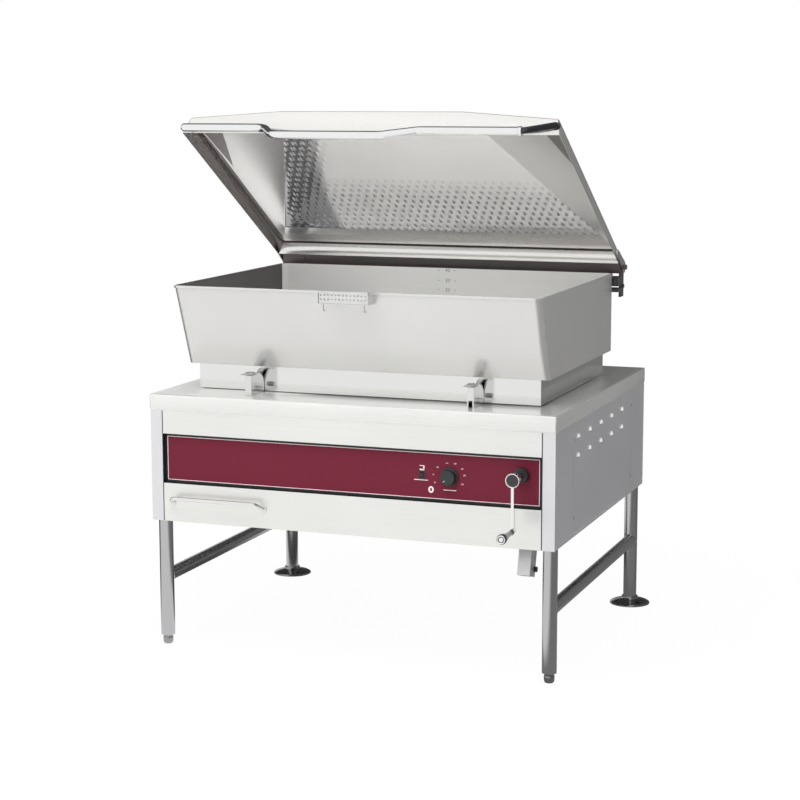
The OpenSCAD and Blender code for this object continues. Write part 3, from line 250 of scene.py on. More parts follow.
# Front feet: stainless bullet feet turned from bar, with a groove for a key under the leg and a screw
# that goes up into the leg.
foot_profile = [
    (0, 0), (0.0095, 0), (0.0118, 0.0009), (0.0136, 0.0035), (0.0146, 0.007), (0.015, 0.011),
    (0.015, 0.0195), (0.0146, 0.0205), (0.0134, 0.0212), (0.0132, 0.0225), (0.0134, 0.0238),
    (0.0146, 0.0244), (0.015, 0.0252), (0.015, 0.0276), (0.0147, 0.028), (0.008, 0.028),
    (0.008, 0.063), (0.0072, 0.064), (0, 0.064)]


def turned(profile, centre, axis=(0, 0, 1), steps=64, flutes=0, depth=0.0):
    """A turned piece: the profile of radius and height goes round the axis through the centre. Flutes lower
    the radius by depth * (1 + cos(flutes * turn)) / 2; depth is one number or one for each row."""
    profile = np.asarray(profile, float)
    turn = np.linspace(0, 2 * np.pi, steps, endpoint=False)
    lie = np.array(Vector((0, 0, 1)).rotation_difference(Vector(axis)).to_matrix())
    ring = np.stack([np.cos(turn), np.sin(turn), np.zeros(steps)], -1)
    reach = profile[:, :1] - np.reshape(depth, (-1, 1)) * (1 + np.cos(flutes * turn)) / 2
    points = reach[..., None] * ring[None] + profile[:, 1:, None] * np.array([0, 0, 1.0])
    return points @ lie.T + np.asarray(centre, float)


polished = satin("polished steel", (0.74, 0.74, 0.73), 0.16, (60, 60, 60), 0.03, 0.03)
foot_steel = satin("foot steel", (0.34, 0.34, 0.34), 0.20, (60, 60, 60), 0.03, 0.06)
for side, name in ((-1, "left"), (1, "right")):
    foot = surface("bullet_foot_" + name, turned(foot_profile, (side * leg_x, leg_front_y, 0)),
                   foot_steel, "foot_" + name, "polished_steel", smooth=40)
    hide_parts("foot_" + name)

# Rear floor flanges: domed steel discs with a collar round the leg, pressed from plate and dark chromed.
# Four holes take the bolts that anchor each one to the floor.
flange_profile = [
    (0.0207, 0.004), (0.0207, 0.0235), (0.0215, 0.024), (0.0245, 0.024), (0.0256, 0.0228),
    (0.0262, 0.019), (0.028, 0.0162), (0.033, 0.0143), (0.042, 0.0123), (0.051, 0.0094),
    (0.0585, 0.0064), (0.062, 0.0042), (0.063, 0.0022), (0.0628, 0.0), (0.0585, 0.0), (0.0, 0.0),
    (0.0, 0.004)]
anchor_ring, anchor_r = 0.048, 0.0045
anchor_hole = [(0, -0.01), (anchor_r, -0.01), (anchor_r, 0.03), (0, 0.03)]


def cut(piece, cutters):
    """Takes closed grids of points out of a piece, with an exact boolean that is applied to its mesh."""
    tool = joined(piece.name + "_tool", cutters, None, "stand", "tube_steel")
    change = piece.modifiers.new("cut", "BOOLEAN")
    change.object, change.operation, change.solver = tool, "DIFFERENCE", "EXACT"
    solid = bpy.data.meshes.new_from_object(piece.evaluated_get(bpy.context.evaluated_depsgraph_get()))
    piece.modifiers.remove(change)
    piece.data = solid
    solid.polygons.foreach_set("use_smooth", np.ones(len(solid.polygons), bool))
    solid.set_sharp_from_angle(angle=math.radians(crease))
    bpy.data.objects.remove(tool)


dark_chrome = satin("dark chrome", (0.27, 0.26, 0.27), 0.14, (90, 90, 90), 0.05, 0.12)
for side, name in ((-1, "left"), (1, "right")):
    flange = surface("domed_flange_" + name, turned(flange_profile, (side * leg_x, leg_rear_y, 0), steps=96),
                     dark_chrome, "stand", "tube_steel", smooth=40)
    holes = []
    for a in np.radians([45, 135, 225, 315]):
        middle = (side * leg_x + anchor_ring * math.cos(a), leg_rear_y + anchor_ring * math.sin(a), 0)
        holes.append((turned(anchor_hole, middle, steps=24), False, True, ()))
    cut(flange, holes)
    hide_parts("floor_flange_" + name)

# Base frame and trunnion brackets: square-cut steel tube and plate, welded, with a plug in the top of
# each leg.
frame_steel = satin("frame steel", (0.42, 0.42, 0.43), 0.42, (120, 14, 120), 0.10, 0.12)
for node in ("base_frame", "leg_plugs", "trunnion_brackets"):
    dress(node, frame_steel)

# Worktop: 2 mm stainless sheet with its edges folded down into an apron and turned in below, corners
# welded and ground round. The slot lets the jack's screw through.
top_w, top_d, top_z, apron, sheet_t = 1.219, 1.016, 0.750, 0.046, 0.002
fold_r, corner_r, least_r = 0.0035, 0.004, 0.0008
slot_x, slot_half_w = 0.447, 0.030
slot_front, slot_back = front + 0.262, front + 0.446


def ring_of(half_x, low_y, high_y, z, corner, steps=7):
    """A rounded rectangle at a height: at each corner a quarter circle, centre + corner * (cos a, sin a)."""
    quarter = np.linspace(0, np.pi / 2, steps)
    parts = []
    for i, (cx, cy) in enumerate(((half_x, high_y), (-half_x, high_y), (-half_x, low_y), (half_x, low_y))):
        mx, my = cx - math.copysign(corner, cx), cy - corner * (1 if cy == high_y else -1)
        a = quarter + i * np.pi / 2
        parts.append(np.stack([mx + corner * np.cos(a), my + corner * np.sin(a), np.full(steps, z)], -1))
    return np.concatenate(parts)


def thicken(piece, thickness, offset, even=False):
    """Gives a sheet its thickness, behind its faces where the offset is -1, or half on either side at 0."""
    wall = piece.modifiers.new("sheet", "SOLIDIFY")
    wall.thickness, wall.offset, wall.use_even_offset = thickness, offset, even


def sheet_top(name, rings, slot_corners, *look):
    """Rings joined into a folded sheet, with the innermost ring filled flat round the slot's corners."""
    rows, columns = len(rings), len(rings[0])
    index = np.arange(rows * columns).reshape(rows, columns)
    hole = rows * columns + np.arange(len(slot_corners))
    mesh = bpy.data.meshes.new(name)
    mesh.from_pydata(np.concatenate([*rings, slot_corners]).tolist(),
                     np.stack([hole, np.roll(hole, -1)], -1).tolist(), faces_of(index, round_v=True))
    work = bmesh.new()
    work.from_mesh(mesh)
    rim = [edge for edge in work.edges if min(corner.index for corner in edge.verts) >= index[-1, 0]]
    bmesh.ops.triangle_fill(work, use_beauty=True, use_dissolve=False, edges=rim)
    bmesh.ops.recalc_face_normals(work, faces=work.faces)
    top = max(work.faces, key=lambda face: face.calc_center_median().z)
    if top.normal.z < 0:
        bmesh.ops.reverse_faces(work, faces=work.faces)
    work.to_mesh(mesh)
    work.free()
    return hang(name, mesh, *look, 40)


# Each ring's inset and drop: the turned-in lip, the apron's foot, the round of the fold, then the flat.
ring_steps = [(0.014, apron), (0.004, apron), (0.0012, apron - 0.0006), (0, apron - 0.003)]
ring_steps += [(fold_r * (1 - math.cos(a)), fold_r * (1 - math.sin(a))) for a in np.linspace(0, np.pi / 2, 6)]
ring_steps += [(0.02, 0.0)]
rings = [ring_of(top_w / 2 - inset, front + inset, front + top_d - inset, top_z - drop,
                 max(corner_r - inset, least_r)) for inset, drop in ring_steps]
slot_corners = np.array([(slot_x - slot_half_w, slot_front, top_z), (slot_x + slot_half_w, slot_front, top_z),
                         (slot_x + slot_half_w, slot_back, top_z), (slot_x - slot_half_w, slot_back, top_z)])
sheet_steel = satin("worktop steel", (0.765, 0.765, 0.745), 0.24, (5, 260, 260), metal=0.68)
worktop = sheet_top("worktop_sheet", rings, slot_corners, sheet_steel, "stand", "satin_steel")
thicken(worktop, sheet_t, -1, True)
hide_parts("worktop")

# Console panels: 1.2 mm stainless sheet, folded at the corner posts and hung between them. The grain
# runs level. The side panels have a removable access panel with two rows of half-round vents.
panel_steel = satin("panel steel", (0.78, 0.78, 0.755), 0.32, (5, 240, 240), metal=0.8)
# The side panels' steel is a little darker and bluer than the front panels', a painted shade.
side_steel_painted_shade = satin("side panel steel", (0.71, 0.71, 0.73), 0.34, (240, 5, 240), metal=0.75)
back_steel = satin("back panel steel", (0.66, 0.66, 0.66), 0.38, (5, 240, 240), metal=0.7)
panel_edge = 0.0004
for node in ("upper_front_panel", "lower_front_panel"):
    dress(node, panel_steel, panel_edge)
for side in ("left", "right"):
    dress("side_panel_" + side, side_steel_painted_shade, panel_edge)
    dress("access_panel_" + side, side_steel_painted_shade, panel_edge)
dress("back_panel", back_steel, panel_edge)
# A hood bulges by out * sin(rise) * root of sin(around) over a half-round outline that shrinks with
# cos(0.92 * rise).
side_face = 0.6075
vent_y = [front + y for y in (0.230, 0.354, 0.478, 0.602, 0.726)]
vent_half_w, vent_high, vent_out, vent_drop = 0.0115, 0.0125, 0.0055, 0.004
around, rise = np.meshgrid(np.linspace(0, np.pi, 17), np.linspace(0, np.pi / 2, 8), indexing="ij")
shrink = np.cos(0.92 * rise)
hoods = []
for side in (-1, 1):
    for z in (0.660, 0.606):
        for y in vent_y:
            hood = np.stack([side * (side_face + vent_out * np.sin(rise) * np.sin(around) ** 0.5),
                             y + vent_half_w * np.cos(around) * shrink,
                             z - vent_drop + vent_high * np.sin(around) * shrink], -1)
            hoods.append((hood, False, False, ()))
# The vent hoods are near-white and mostly non-metal, a painted highlight on the pressed sheet.
hood_painted_highlight = satin("vent steel", (0.95, 0.95, 0.94), 0.3, (200, 200, 200), metal=0.1)
vents = joined("vent_hoods", hoods, hood_painted_highlight, "stand", "satin_steel")
thicken(vents, 0.0008, 0)
head = [(0, 0.0022), (0.0012, 0.0022), (0.0013, 0.0012), (0.0022, 0.0012), (0.0024, 0.0021), (0.0034, 0.0017),
        (0.0042, 0.0009), (0.0045, 0.0), (0.0019, 0.0), (0.0019, -0.0035), (0, -0.0035)]
screws = [(turned(head, (side * side_face, front + y, z), (side, 0, 0), 24), False, True, ())
          for side in (-1, 1) for y in (0.188, 0.848) for z in (0.434, 0.654)]
screw_heads = joined("access_screws", screws, polished, "stand", "plain_steel")
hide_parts("panel_screws")

# Control recess and panel: a black steel tray, whose near-black colour is also a painted shade in the gap
# round the plate, and in it a burgundy enamelled plate with a pale printed line along its edge, dial numbers
# and plain marks. Black strips at the front panels' ends are painted shadow in the gaps there.
mark_y, mark_t = front + 0.0137, 0.0004
dial_x, dial_z, number_size = 0.302, 0.563, 0.0052
line_x, line_low, line_high, line_t = 0.5599, 0.5002, 0.6268, 0.0018
zero_x, zero_z, zero_outer, zero_inner = 0.2485, 0.5245, (0.008, 0.0095), (0.0032, 0.005)
shadow_strip_x, shadow_strip_y, shadow_strip_w, shadow_strip_t = 0.5701, front + 0.0018, 0.0027, 0.0006


def coated(name, colour, roughness, pebble=420, lift=0.00005, cloud=0.06, coat=0.0, shine=0.5):
    """Paint or moulded plastic: fine pebbles lift the surface and vary its gloss, wide clouds its shade."""
    made = Finish(bpy.data.materials.new(name), Metallic=0.0, Coat_Weight=coat, Coat_Roughness=0.08,
                  Specular_IOR_Level=shine)
    place = made.node("ShaderNodeTexCoord", output="Object")
    pebbles = made.node("ShaderNodeTexNoise", {}, {"Vector": place, "Scale": pebble, "Detail": 3.0})
    clouds = made.node("ShaderNodeTexNoise", {}, {"Vector": place, "Scale": 5.0, "Detail": 3.0})
    shade = 1 + (clouds - 0.5) * (2 * cloud) + (pebbles - 0.5) * 0.06
    made.paint(
        Base_Color=made.node("ShaderNodeVectorMath", {"operation": "SCALE"}, {0: colour, "Scale": shade}),
        Roughness=roughness + (pebbles - 0.5) * 0.10 + (clouds - 0.5) * 0.08,
        Normal=made.node("ShaderNodeBump", {}, {"Strength": 0.4, "Distance": lift, "Height": pebbles}),
    )
    return made.owner


def bar(x, z, wide, high, y=mark_y, thick=mark_t):
    """A thin closed plate in the panel's plane: its middle plus or minus half its width and height."""
    across = np.array([(-0.5, -0.5), (0.5, -0.5), (0.5, 0.5), (-0.5, 0.5)]) * (wide, high)
    edge = np.stack([x + across[:, 0], np.full(4, y), z + across[:, 1]], -1)
    return np.stack([edge, edge + (0, thick, 0)]), False, True, (0, -1)


def lettering(name, lines, size, y, *look):
    """Numbers standing in the plane at y: each line is its text and the middle's place across and up."""
    work = bmesh.new()
    for words, x, z in lines:
        curve = bpy.data.curves.new(name, "FONT")
        curve.body, curve.size, curve.extrude = words, size, 0.0001
        curve.align_x, curve.align_y = "CENTER", "CENTER"
        holder = bpy.data.objects.new(name, curve)
        bpy.context.scene.collection.objects.link(holder)
        flat = bpy.data.meshes.new_from_object(holder.evaluated_get(bpy.context.evaluated_depsgraph_get()))
        bpy.data.objects.remove(holder)
        flat.transform(Matrix.Translation((x, y, z)) @ Matrix.Rotation(math.pi / 2, 4, "X"))
        work.from_mesh(flat)
    mesh = bpy.data.meshes.new(name)
    work.to_mesh(mesh)
    work.free()
    return place_piece(name, mesh, *look)


gap_shade_black = coated("recess black", (0.012, 0.012, 0.014), 0.42)
enamel = coated("burgundy enamel", (0.136, 0.015, 0.031), 0.30, 900, 0.00002, 0.05, shine=0.12)
ink = coated("pale ink", (0.80, 0.66, 0.69), 0.5)
dress("control_recess", gap_shade_black, 0.0003)
# The black strips in the gaps beside the posts are painted shadow.
shadow_strips = [bar(side * shadow_strip_x, z, shadow_strip_w, high, shadow_strip_y, shadow_strip_t)
         for side in (-1, 1) for z, high in ((0.670, 0.067), (0.436, 0.111))]
joined("panel_edge_seals", shadow_strips, gap_shade_black, "stand", "black_paint")
dress("control_panel", enamel, 0.0003)
print_look = (ink, "stand", "burgundy_paint")
border = [bar(0, z, 2 * line_x + line_t, line_t) for z in (line_high, line_low)]
border += [bar(x, (line_low + line_high) / 2, line_t, line_high - line_low - line_t)
           for x in (-line_x, line_x)]
joined("panel_border", border, *print_look)
turn = np.linspace(0, 2 * np.pi, 40, endpoint=False)
zero = np.stack([np.stack([zero_x + w * np.cos(turn), np.full(40, y), zero_z + h * np.sin(turn)], -1)
                 for (w, h), y in ((zero_outer, mark_y), (zero_outer, mark_y + mark_t),
                                   (zero_inner, mark_y + mark_t), (zero_inner, mark_y))])
marks = [bar(0.2205, 0.5902, 0.011, 0.002), bar(0.2275, 0.5851, 0.003, 0.0122),
         bar(0.2222, 0.5790, 0.0136, 0.0038), bar(0.219, 0.5500, 0.041, 0.0021),
         bar(0.3035, 0.5260, 0.037, 0.0023), (zero, True, True, ())]
joined("panel_marks", marks, *print_look)
dial = []
for i, (angle, far) in enumerate(((203, 0.046), (175, 0.047), (144, 0.043), (101, 0.039), (67, 0.0415),
                                  (34, 0.0445), (9, 0.0445), (-25, 0.042))):
    a = math.radians(angle)
    dial.append((str(25 * (i + 2)), dial_x + far * math.cos(a), dial_z + far * math.sin(a)))
lettering("dial_numbers", dial, number_size, mark_y, *print_look)

# Thermostat knob: moulded black plastic with a skirt, a fluted grip and a white pointer line, pressed on
# the stem. Behind the panel are the thermostat and the rocker switch, and a contactor box on the frame.
forward = (0, -1, 0)
knob_y, knob_top, flutes, flute_depth = front + 0.014, 0.0196, 24, 0.0012
black_plastic = coated("black plastic", (0.016, 0.020, 0.020), 0.34)
box_grey = coated("moulded grey", (0.20, 0.21, 0.22), 0.5)
rocker_red = coated("dark red plastic", (0.035, 0.004, 0.008), 0.3)
knob_profile = [
    (0, 0.0005), (0.0258, 0.0005), (0.0265, 0.0012), (0.0265, 0.003), (0.0258, 0.004), (0.024, 0.0046),
    (0.0228, 0.006), (0.0224, 0.0105), (0.0221, 0.015), (0.0214, 0.018), (0.0198, 0.0193), (0.017, 0.0198),
    (0.0145, 0.019), (0, 0.0186)]
knob_depth = np.zeros(len(knob_profile))
knob_depth[6:10] = flute_depth
knob = surface("knob_body", turned(knob_profile, (dial_x, knob_y, dial_z), forward, 192, flutes, knob_depth),
               black_plastic, "knob", "black_plastic")
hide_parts("thermostat_knob")
aside = np.linspace(0.0076, 0.0122, 4)
pointer = np.stack([dial_x - aside, np.full(4, knob_y - knob_top), dial_z - aside], -1)
surface("knob_pointer", carried(pointer, 0.0007, 8, (0, 1, 0), flat=0.6), ink, "knob", "black_plastic",
        shut=(0, -1))
dress("switch_housing", black_plastic, 0.0005)
dress("rocker", rocker_red, 0.0008)
for node in ("thermostat_body", "contactor_box"):
    dress(node, box_grey, 0.0012)

# Bar handle: stainless rod, 12 mm, bent back to the lower panel at both ends and welded there, each end
# through a turned washer.
bar_left, bar_right, bar_slant, bar_r, bar_bend = -0.5415, -0.2535, 0.012, 0.006, 0.016
bar_top, bar_foot, bar_out = 0.453, 0.435, 0.030


def bent(corners, radius, steps=8):
    """A path with round bends: an arc of that radius, or less where a run is short, takes each corner's
    place, as (sin((1 - s) turn) * start + sin(s turn) * end) / sin(turn) about the arc's centre."""
    corners = np.asarray(corners, float)
    path = [corners[:1]]
    for before, here, after in zip(corners, corners[1:], corners[2:]):
        back, on = before - here, after - here
        long_back, long_on = np.linalg.norm(back), np.linalg.norm(on)
        back, on = back / long_back, on / long_on
        half = math.acos(np.clip(back @ on, -1, 1)) / 2
        reach = min(radius / math.tan(half), 0.45 * long_back, 0.45 * long_on)
        middle = (back + on) / np.linalg.norm(back + on)
        centre = here + middle * reach / math.cos(half)
        start, end = here + back * reach - centre, here + on * reach - centre
        turn = math.pi - 2 * half
        s = np.linspace(0, 1, steps)[:, None]
        path.append(centre + (np.sin((1 - s) * turn) * start + np.sin(s * turn) * end) / math.sin(turn))
    return np.concatenate(path + [corners[-1:]])


def rod_of(path, radius, sides=24, up=(0, 0, 1), ends=(1, 1)):
    """A rod along a path, as points for a piece. Each end flagged 1 is domed: the rod runs on by
    radius * sin a while its radius falls to radius * cos a."""
    path = np.asarray(path, float)
    size = np.full(len(path), radius, float)
    a = np.linspace(0, np.pi / 2, 7)[1:, None]
    if ends[0]:
        out = (path[0] - path[1]) / np.linalg.norm(path[0] - path[1])
        path = np.concatenate([path[0] + out * radius * np.sin(a[::-1]), path])
        size = np.concatenate([radius * np.cos(a[::-1, 0]), size])
    if ends[1]:
        out = (path[-1] - path[-2]) / np.linalg.norm(path[-1] - path[-2])
        path = np.concatenate([path, path[-1] + out * radius * np.sin(a)])
        size = np.concatenate([size, radius * np.cos(a[:, 0])])
    return carried(path, size, sides, up)


rod_steel = satin("polished rod", (0.80, 0.80, 0.79), 0.13, (8, 200, 200), 0.03, 0.03)
bar_path = bent([(bar_left, front + 0.001, bar_foot), (bar_left + bar_slant, front - bar_out, bar_top),
                 (bar_right - bar_slant, front - bar_out, bar_top), (bar_right, front + 0.001, bar_foot)],
                bar_bend)
washer = [(0, 0.004), (0.0075, 0.004), (0.0092, 0.0034), (0.0099, 0.002), (0.01, 0.0), (0, 0.0)]
bar_parts = [(carried(bar_path, bar_r, 24), False, True, (0, -1))]
bar_parts += [(turned(washer, (x, front + 0.002, bar_foot), forward, 40), False, True, ())
              for x in (bar_left, bar_right)]
bar_handle = joined("bent_bar_handle", bar_parts, rod_steel, "stand", "polished_steel")
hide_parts("bar_handle")

# Crank: a black boss in the panel, a chromed hub with a rim round a black cap, a flat chromed arm, and a
# tapered black grip with a chromed end that turns on its pin.
crank_x, crank_z, hub_front, grip_z = 0.5105, 0.583, front - 0.076, 0.443
hub_face, grip_foot = (crank_x, hub_front, crank_z), (crank_x, hub_front - 0.002, grip_z)
chrome = satin("bright chrome", (0.86, 0.86, 0.86), 0.07, (40, 40, 40), 0.02, 0.02, 0.00002)
gloss_black = coated("gloss black", (0.010, 0.010, 0.012), 0.12, 200, 0.00002, 0.05, 0.4)
dress("crank_bearing", black_plastic, 0.0014)
dress("crank_arm_hub", chrome, 0.0011)
rim = [(0.0170, 0), (0.0170, 0.001), (0.0176, 0.0017), (0.0186, 0.002), (0.0195, 0.0016), (0.02, 0.0008),
       (0.02, 0)]
surface("hub_rim", turned(rim, hub_face, forward, 96), chrome, "crank", "bright_chrome", round_u=True)
cap = [(0, 0.0024), (0.008, 0.0022), (0.014, 0.0015), (0.0164, 0.0008), (0.0168, 0), (0, 0)]
surface("hub_cap", turned(cap, hub_face, forward, 64), gloss_black, "crank", "black_paint")
grip_profile = [
    (0, 0), (0.0068, 0), (0.0078, 0.0014), (0.0079, 0.006), (0.0068, 0.0098), (0.0064, 0.0165),
    (0.0073, 0.032), (0.0094, 0.052), (0.0118, 0.068), (0.0134, 0.08), (0.014, 0.0885), (0.0138, 0.0925),
    (0.013, 0.095), (0.0122, 0.0953), (0, 0.0953)]
grip = surface("grip_body", turned(grip_profile, grip_foot, forward, 72), gloss_black, "grip",
               "black_plastic", smooth=50)
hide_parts("crank_grip")
end_profile = [(0, 0.0974), (0.0042, 0.0972), (0.006, 0.0964), (0.0065, 0.0952), (0.0078, 0.0952),
               (0.0084, 0.0966), (0.0096, 0.0976), (0.0112, 0.0975), (0.0121, 0.0966), (0.0124, 0.0952),
               (0.0124, 0.095), (0, 0.095)]
surface("grip_end", turned(end_profile, grip_foot, forward, 72), chrome, "grip", "bright_chrome")

# Tilt drive inside the console: a bevel box behind the crank, a cross shaft, and a cast jack housing that
# swings on two brackets. Its bronze nut drives a steel screw with a rolled thread that lifts the pan.
pivot = np.array([0.447, front + 0.3695, 0.583])
jack_lean, screw_up, screw_down, screw_r = math.radians(16.19), 0.2051, 0.3516, 0.011
thread_pitch, thread_depth, thread_start = 0.006, 0.0018, 0.004
cast = coated("cast housing", (0.17, 0.18, 0.19), 0.55, 260, 0.0002, 0.12)
machined = satin("machined steel", (0.58, 0.58, 0.58), 0.26, (300, 20, 20), 0.06, 0.05)
bronze = satin("bronze", (0.55, 0.36, 0.14), 0.34, (90, 90, 90), 0.08, 0.10)
guard_steel = satin("guard steel", (0.72, 0.72, 0.72), 0.30, (240, 240, 6), metal=0.8)
for nodes, material in ((("bevel_box", "jack_housing"), cast), (("crank_gear", "drive_nut"), bronze),
                        (("crank_shaft", "cross_shaft", "lift_pin", "tilt_pins"), machined),
                        (("guard_tube",), guard_steel), (("guard_bolt",), black_plastic)):
    for node in nodes:
        dress(node, material, 0.0006)
# The thread is a groove with sloping flanks that winds round the screw: over one pitch its depth is
# 1.6 - 3.2 * |2 * phase - 1|, held between 0 and 1, where the phase is reach / pitch - turn / full turn.
along = np.array([0, math.sin(jack_lean), math.cos(jack_lean)])
across = np.array([1.0, 0, 0])
square = np.cross(across, along)
reach = np.linspace(-screw_down, screw_up - 0.008, 560)
turn = np.linspace(0, 2 * np.pi, 32, endpoint=False)
phase = (reach[:, None] / thread_pitch - turn[None] / (2 * np.pi)) % 1
groove = np.clip(1.6 - 3.2 * np.abs(2 * phase - 1), 0, 1)
thread_r = screw_r - thread_depth * groove * np.clip((reach[:, None] + screw_down) / thread_start, 0, 1)
thread_points = (pivot + reach[:, None, None] * along + thread_r[..., None] * (
    np.cos(turn)[None, :, None] * across + np.sin(turn)[None, :, None] * square))
eye = [(0.0073, -0.011), (0.0083, -0.012), (0.012, -0.012), (0.013, -0.011), (0.013, 0.011), (0.012, 0.012),
       (0.0083, 0.012), (0.0073, 0.011)]
screw = joined("threaded_screw", [(thread_points, False, True, (0, -1)),
                                  (turned(eye, pivot + screw_up * along, (1, 0, 0), 48), True, True, ())],
               machined, "screw", "plain_steel", smooth=30)
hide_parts("jack_screw")

# Hinge blocks on the worktop: polished cheeks with the tilt pins through them, each under a thin curved
# cover that stands out past the block on its left and is slotted for the pan's ear.
dress("hinge_blocks", polished, 0.0009)
tilt_y, tilt_z, cover_r, ear_half = front + 0.107, 0.766, 0.0462, 0.0064
toe_y, toe_z = tilt_y - 0.0472, tilt_z + 0.0436
# Seen from the side, a cover goes straight from its toe to an arch, pin + radius * (sin a, cos a).
lean = np.radians(np.linspace(-14, 86, 22))
arch = np.stack([tilt_y + cover_r * np.sin(lean), tilt_z + cover_r * np.cos(lean)], -1)
flat_y = np.linspace(toe_y, arch[0, 0], 5)[:-1]
flat_z = np.interp(flat_y, [toe_y, arch[0, 0]], [toe_z, arch[0, 1]])
arch = np.concatenate([np.stack([flat_y, flat_z], -1), arch])
strips = []
for low, ear, high in ((-0.3470, -0.324, -0.3135), (0.3255, 0.346, 0.3565)):
    for start, end, path in ((low, high, arch[:6]), (low, ear - ear_half, arch[5:]),
                             (ear + ear_half, high, arch[5:])):
        strip = np.stack([np.insert(path, 0, x, axis=1) for x in (start, end)])
        strips.append((strip, False, False, ()))
covers = joined("hinge_covers", strips, machined, "stand", "polished_steel")
thicken(covers, 0.0008, 0)

# Pan: 3 mm stainless sheet with round corners and a front wall that leans out to the rim, which is folded
# into a band. The cooking plate is clad and ground. Level marks are stamped in the rear wall.
# Inside the pan the side walls are painted dark, a painted shade. The front and rear walls are near-white and
# mostly non-metal, a painted light.
pan_steel = satin("pan steel", (0.70, 0.695, 0.68), 0.24, (5, 230, 230), 0.03, lift=0.00002, metal=0.72,
                  painted_light_and_shade=((0, (0.13, 0.12, 0.125), 1.0), (1, (0.96, 0.96, 0.945), 0.12)))
# The cooking plate is near-white and mostly non-metal, a painted light that also brightens its reflection in
# the lid.
plate_steel_painted_light = satin("plate steel", (0.93, 0.92, 0.90), 0.38, (240, 5, 240), 0.05, 0.08, metal=0.15)
dress("pan_shell", pan_steel, 0.0008)
dress("cooking_plate", plate_steel_painted_light, 0.001)
stamped = coated("stamped grey", (0.30, 0.30, 0.29), 0.5)
stamp_look = (stamped, "pan", "polished_steel")
rear_wall_y, level_x = front + 0.8258, 0.0165
levels = ((1.0545, "40"), (1.0225, "30"), (0.9930, "20"))
lettering("level_numbers", [(words, level_x, z) for z, words in levels], 0.0165, rear_wall_y, *stamp_look)
dashes = [bar(x, z, 0.006, 0.0016, rear_wall_y, 0.0003) for x in (-0.0135, 0.0405) for z, words in levels]
joined("level_dashes", dashes, *stamp_look)

# Base box under the pan: polished sheet round the heating elements and the wool. Ears in front turn on the
# tilt pins, and a beam across it takes the jack's pin.
mirror = satin("polished sheet", (0.78, 0.78, 0.77), 0.10, (5, 120, 120), 0.02, 0.03, 0.00004)
element_grey = coated("element sheath", (0.10, 0.10, 0.11), 0.5)
wool = coated("mineral wool", (0.52, 0.45, 0.30), 0.95, 700, 0.0012, 0.2)
dress("pan_base", mirror, 0.0006)
for node, material in (("pan_ears", frame_steel), ("lift_beam", frame_steel),
                       ("heating_elements", element_grey), ("insulation", wool)):
    dress(node, material, 0.001)

# Pour lip: folded sheet in front of a notch in the rim, with a strainer plate dropped in and two bent hooks
# of 5 mm rod welded below.
dress("pour_lip", polished, 0.0005)
dress("strainer", polished, 0.0003)
hook_y, hook_top, hook_foot, hook_out, hook_r = front + 0.001, 1.0305, 1.0105, 0.021, 0.0025
rods = []
for x in (-0.0650, 0.0570):
    path = bent([(x, hook_y, hook_top), (x, hook_y, hook_foot), (x, hook_y + hook_out, hook_foot)], 0.007)
    rods.append((rod_of(path, hook_r, 16, (1, 0, 0), (0, 1)), False, True, (0,)))
hooks = joined("bent_hooks", rods, rod_steel, "pan", "polished_steel")
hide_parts("lip_hooks")

# Hinge tube across the rear of the pan: square steel tube, coloured dark brown as painted shade and a
# painted brownish reflection, with end sleeves that leave a seam, on dark brackets from the rear wall. It
# holds the lid's spring and hinge pins.
lid_axis_y, lid_axis_z, tube_half, tube_end = front + 0.882, 1.077, 0.019, 0.5642
chamfer, seam_half = 0.0012, 0.0008
tube_shade_brown = coated("dark brown paint", (0.085, 0.068, 0.066), 0.30, 500, 0.00004, 0.08, 0.2)
bracket_dark = coated("dark bracket paint", (0.045, 0.042, 0.043), 0.35)
groove_x = np.array([-2, -1, 1, 2]) * seam_half
along_x = np.concatenate([[-tube_end, -tube_end + chamfer], -0.485 + groove_x, 0.507 + groove_x,
                          [tube_end - chamfer, tube_end]])
tube_rings = []
for x, less in zip(along_x, np.tile([chamfer, 0, 0, chamfer], 3)):
    half = tube_half - less
    flat_ring = ring_of(half, -half, half, 0, 0.003, 5)[:, :2] + (lid_axis_y, lid_axis_z)
    tube_rings.append(np.insert(flat_ring, 0, x, axis=1))
pin = [(0, 0), (0.0078, 0), (0.0078, 0.0130), (0.007, 0.014), (0, 0.014)]
pins = [(turned(pin, (side * tube_end, lid_axis_y, lid_axis_z), (side, 0, 0), 40), False, True, ())
        for side in (-1, 1)]
hinge_tube = joined("painted_hinge_tube", [(np.stack(tube_rings), False, True, (0, -1))] + pins,
                    tube_shade_brown, "pan", "dark_steel")
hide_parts("hinge_tube")
dress("hinge_tube_brackets", bracket_dark, 0.0008)

# Lid: 2 mm stainless sheet folded into a shallow roof with skirts all round, hung open. Pieces are drawn on
# the shut lid and turned about the hinge axis. Inside it a lining is pressed with staggered drip dimples.
lid_angle = math.radians(30.8)
# Inside the lid, the faces that look inwards along x are painted dark: a painted shade on the side skirts.
lid_steel = satin("lid steel", (0.82, 0.81, 0.79), 0.20, (5, 200, 200), 0.04, 0.04, metal=0.9,
                  painted_light_and_shade=((0, (0.24, 0.22, 0.215), 1.0),))
# The lining is near-white with a diffuse share, a painted light. Its shade attribute darkens it with a
# painted reflection.
lining_steel = satin("lining steel", (0.95, 0.94, 0.925), 0.12, (5, 160, 160), 0.03, 0.04, metal=0.6,
                     painted_light_and_shade=(("shade", (0.15, 0.155, 0.185), 0.9),))


def opened(points):
    """Points of the shut lid, turned about the hinge axis so that the front edge rises."""
    points = np.asarray(points, float)
    y, z = points[..., 1] - lid_axis_y, points[..., 2] - lid_axis_z
    c, s = math.cos(lid_angle), math.sin(lid_angle)
    return np.stack([points[..., 0], lid_axis_y + y * c + z * s, lid_axis_z - y * s + z * c], -1)


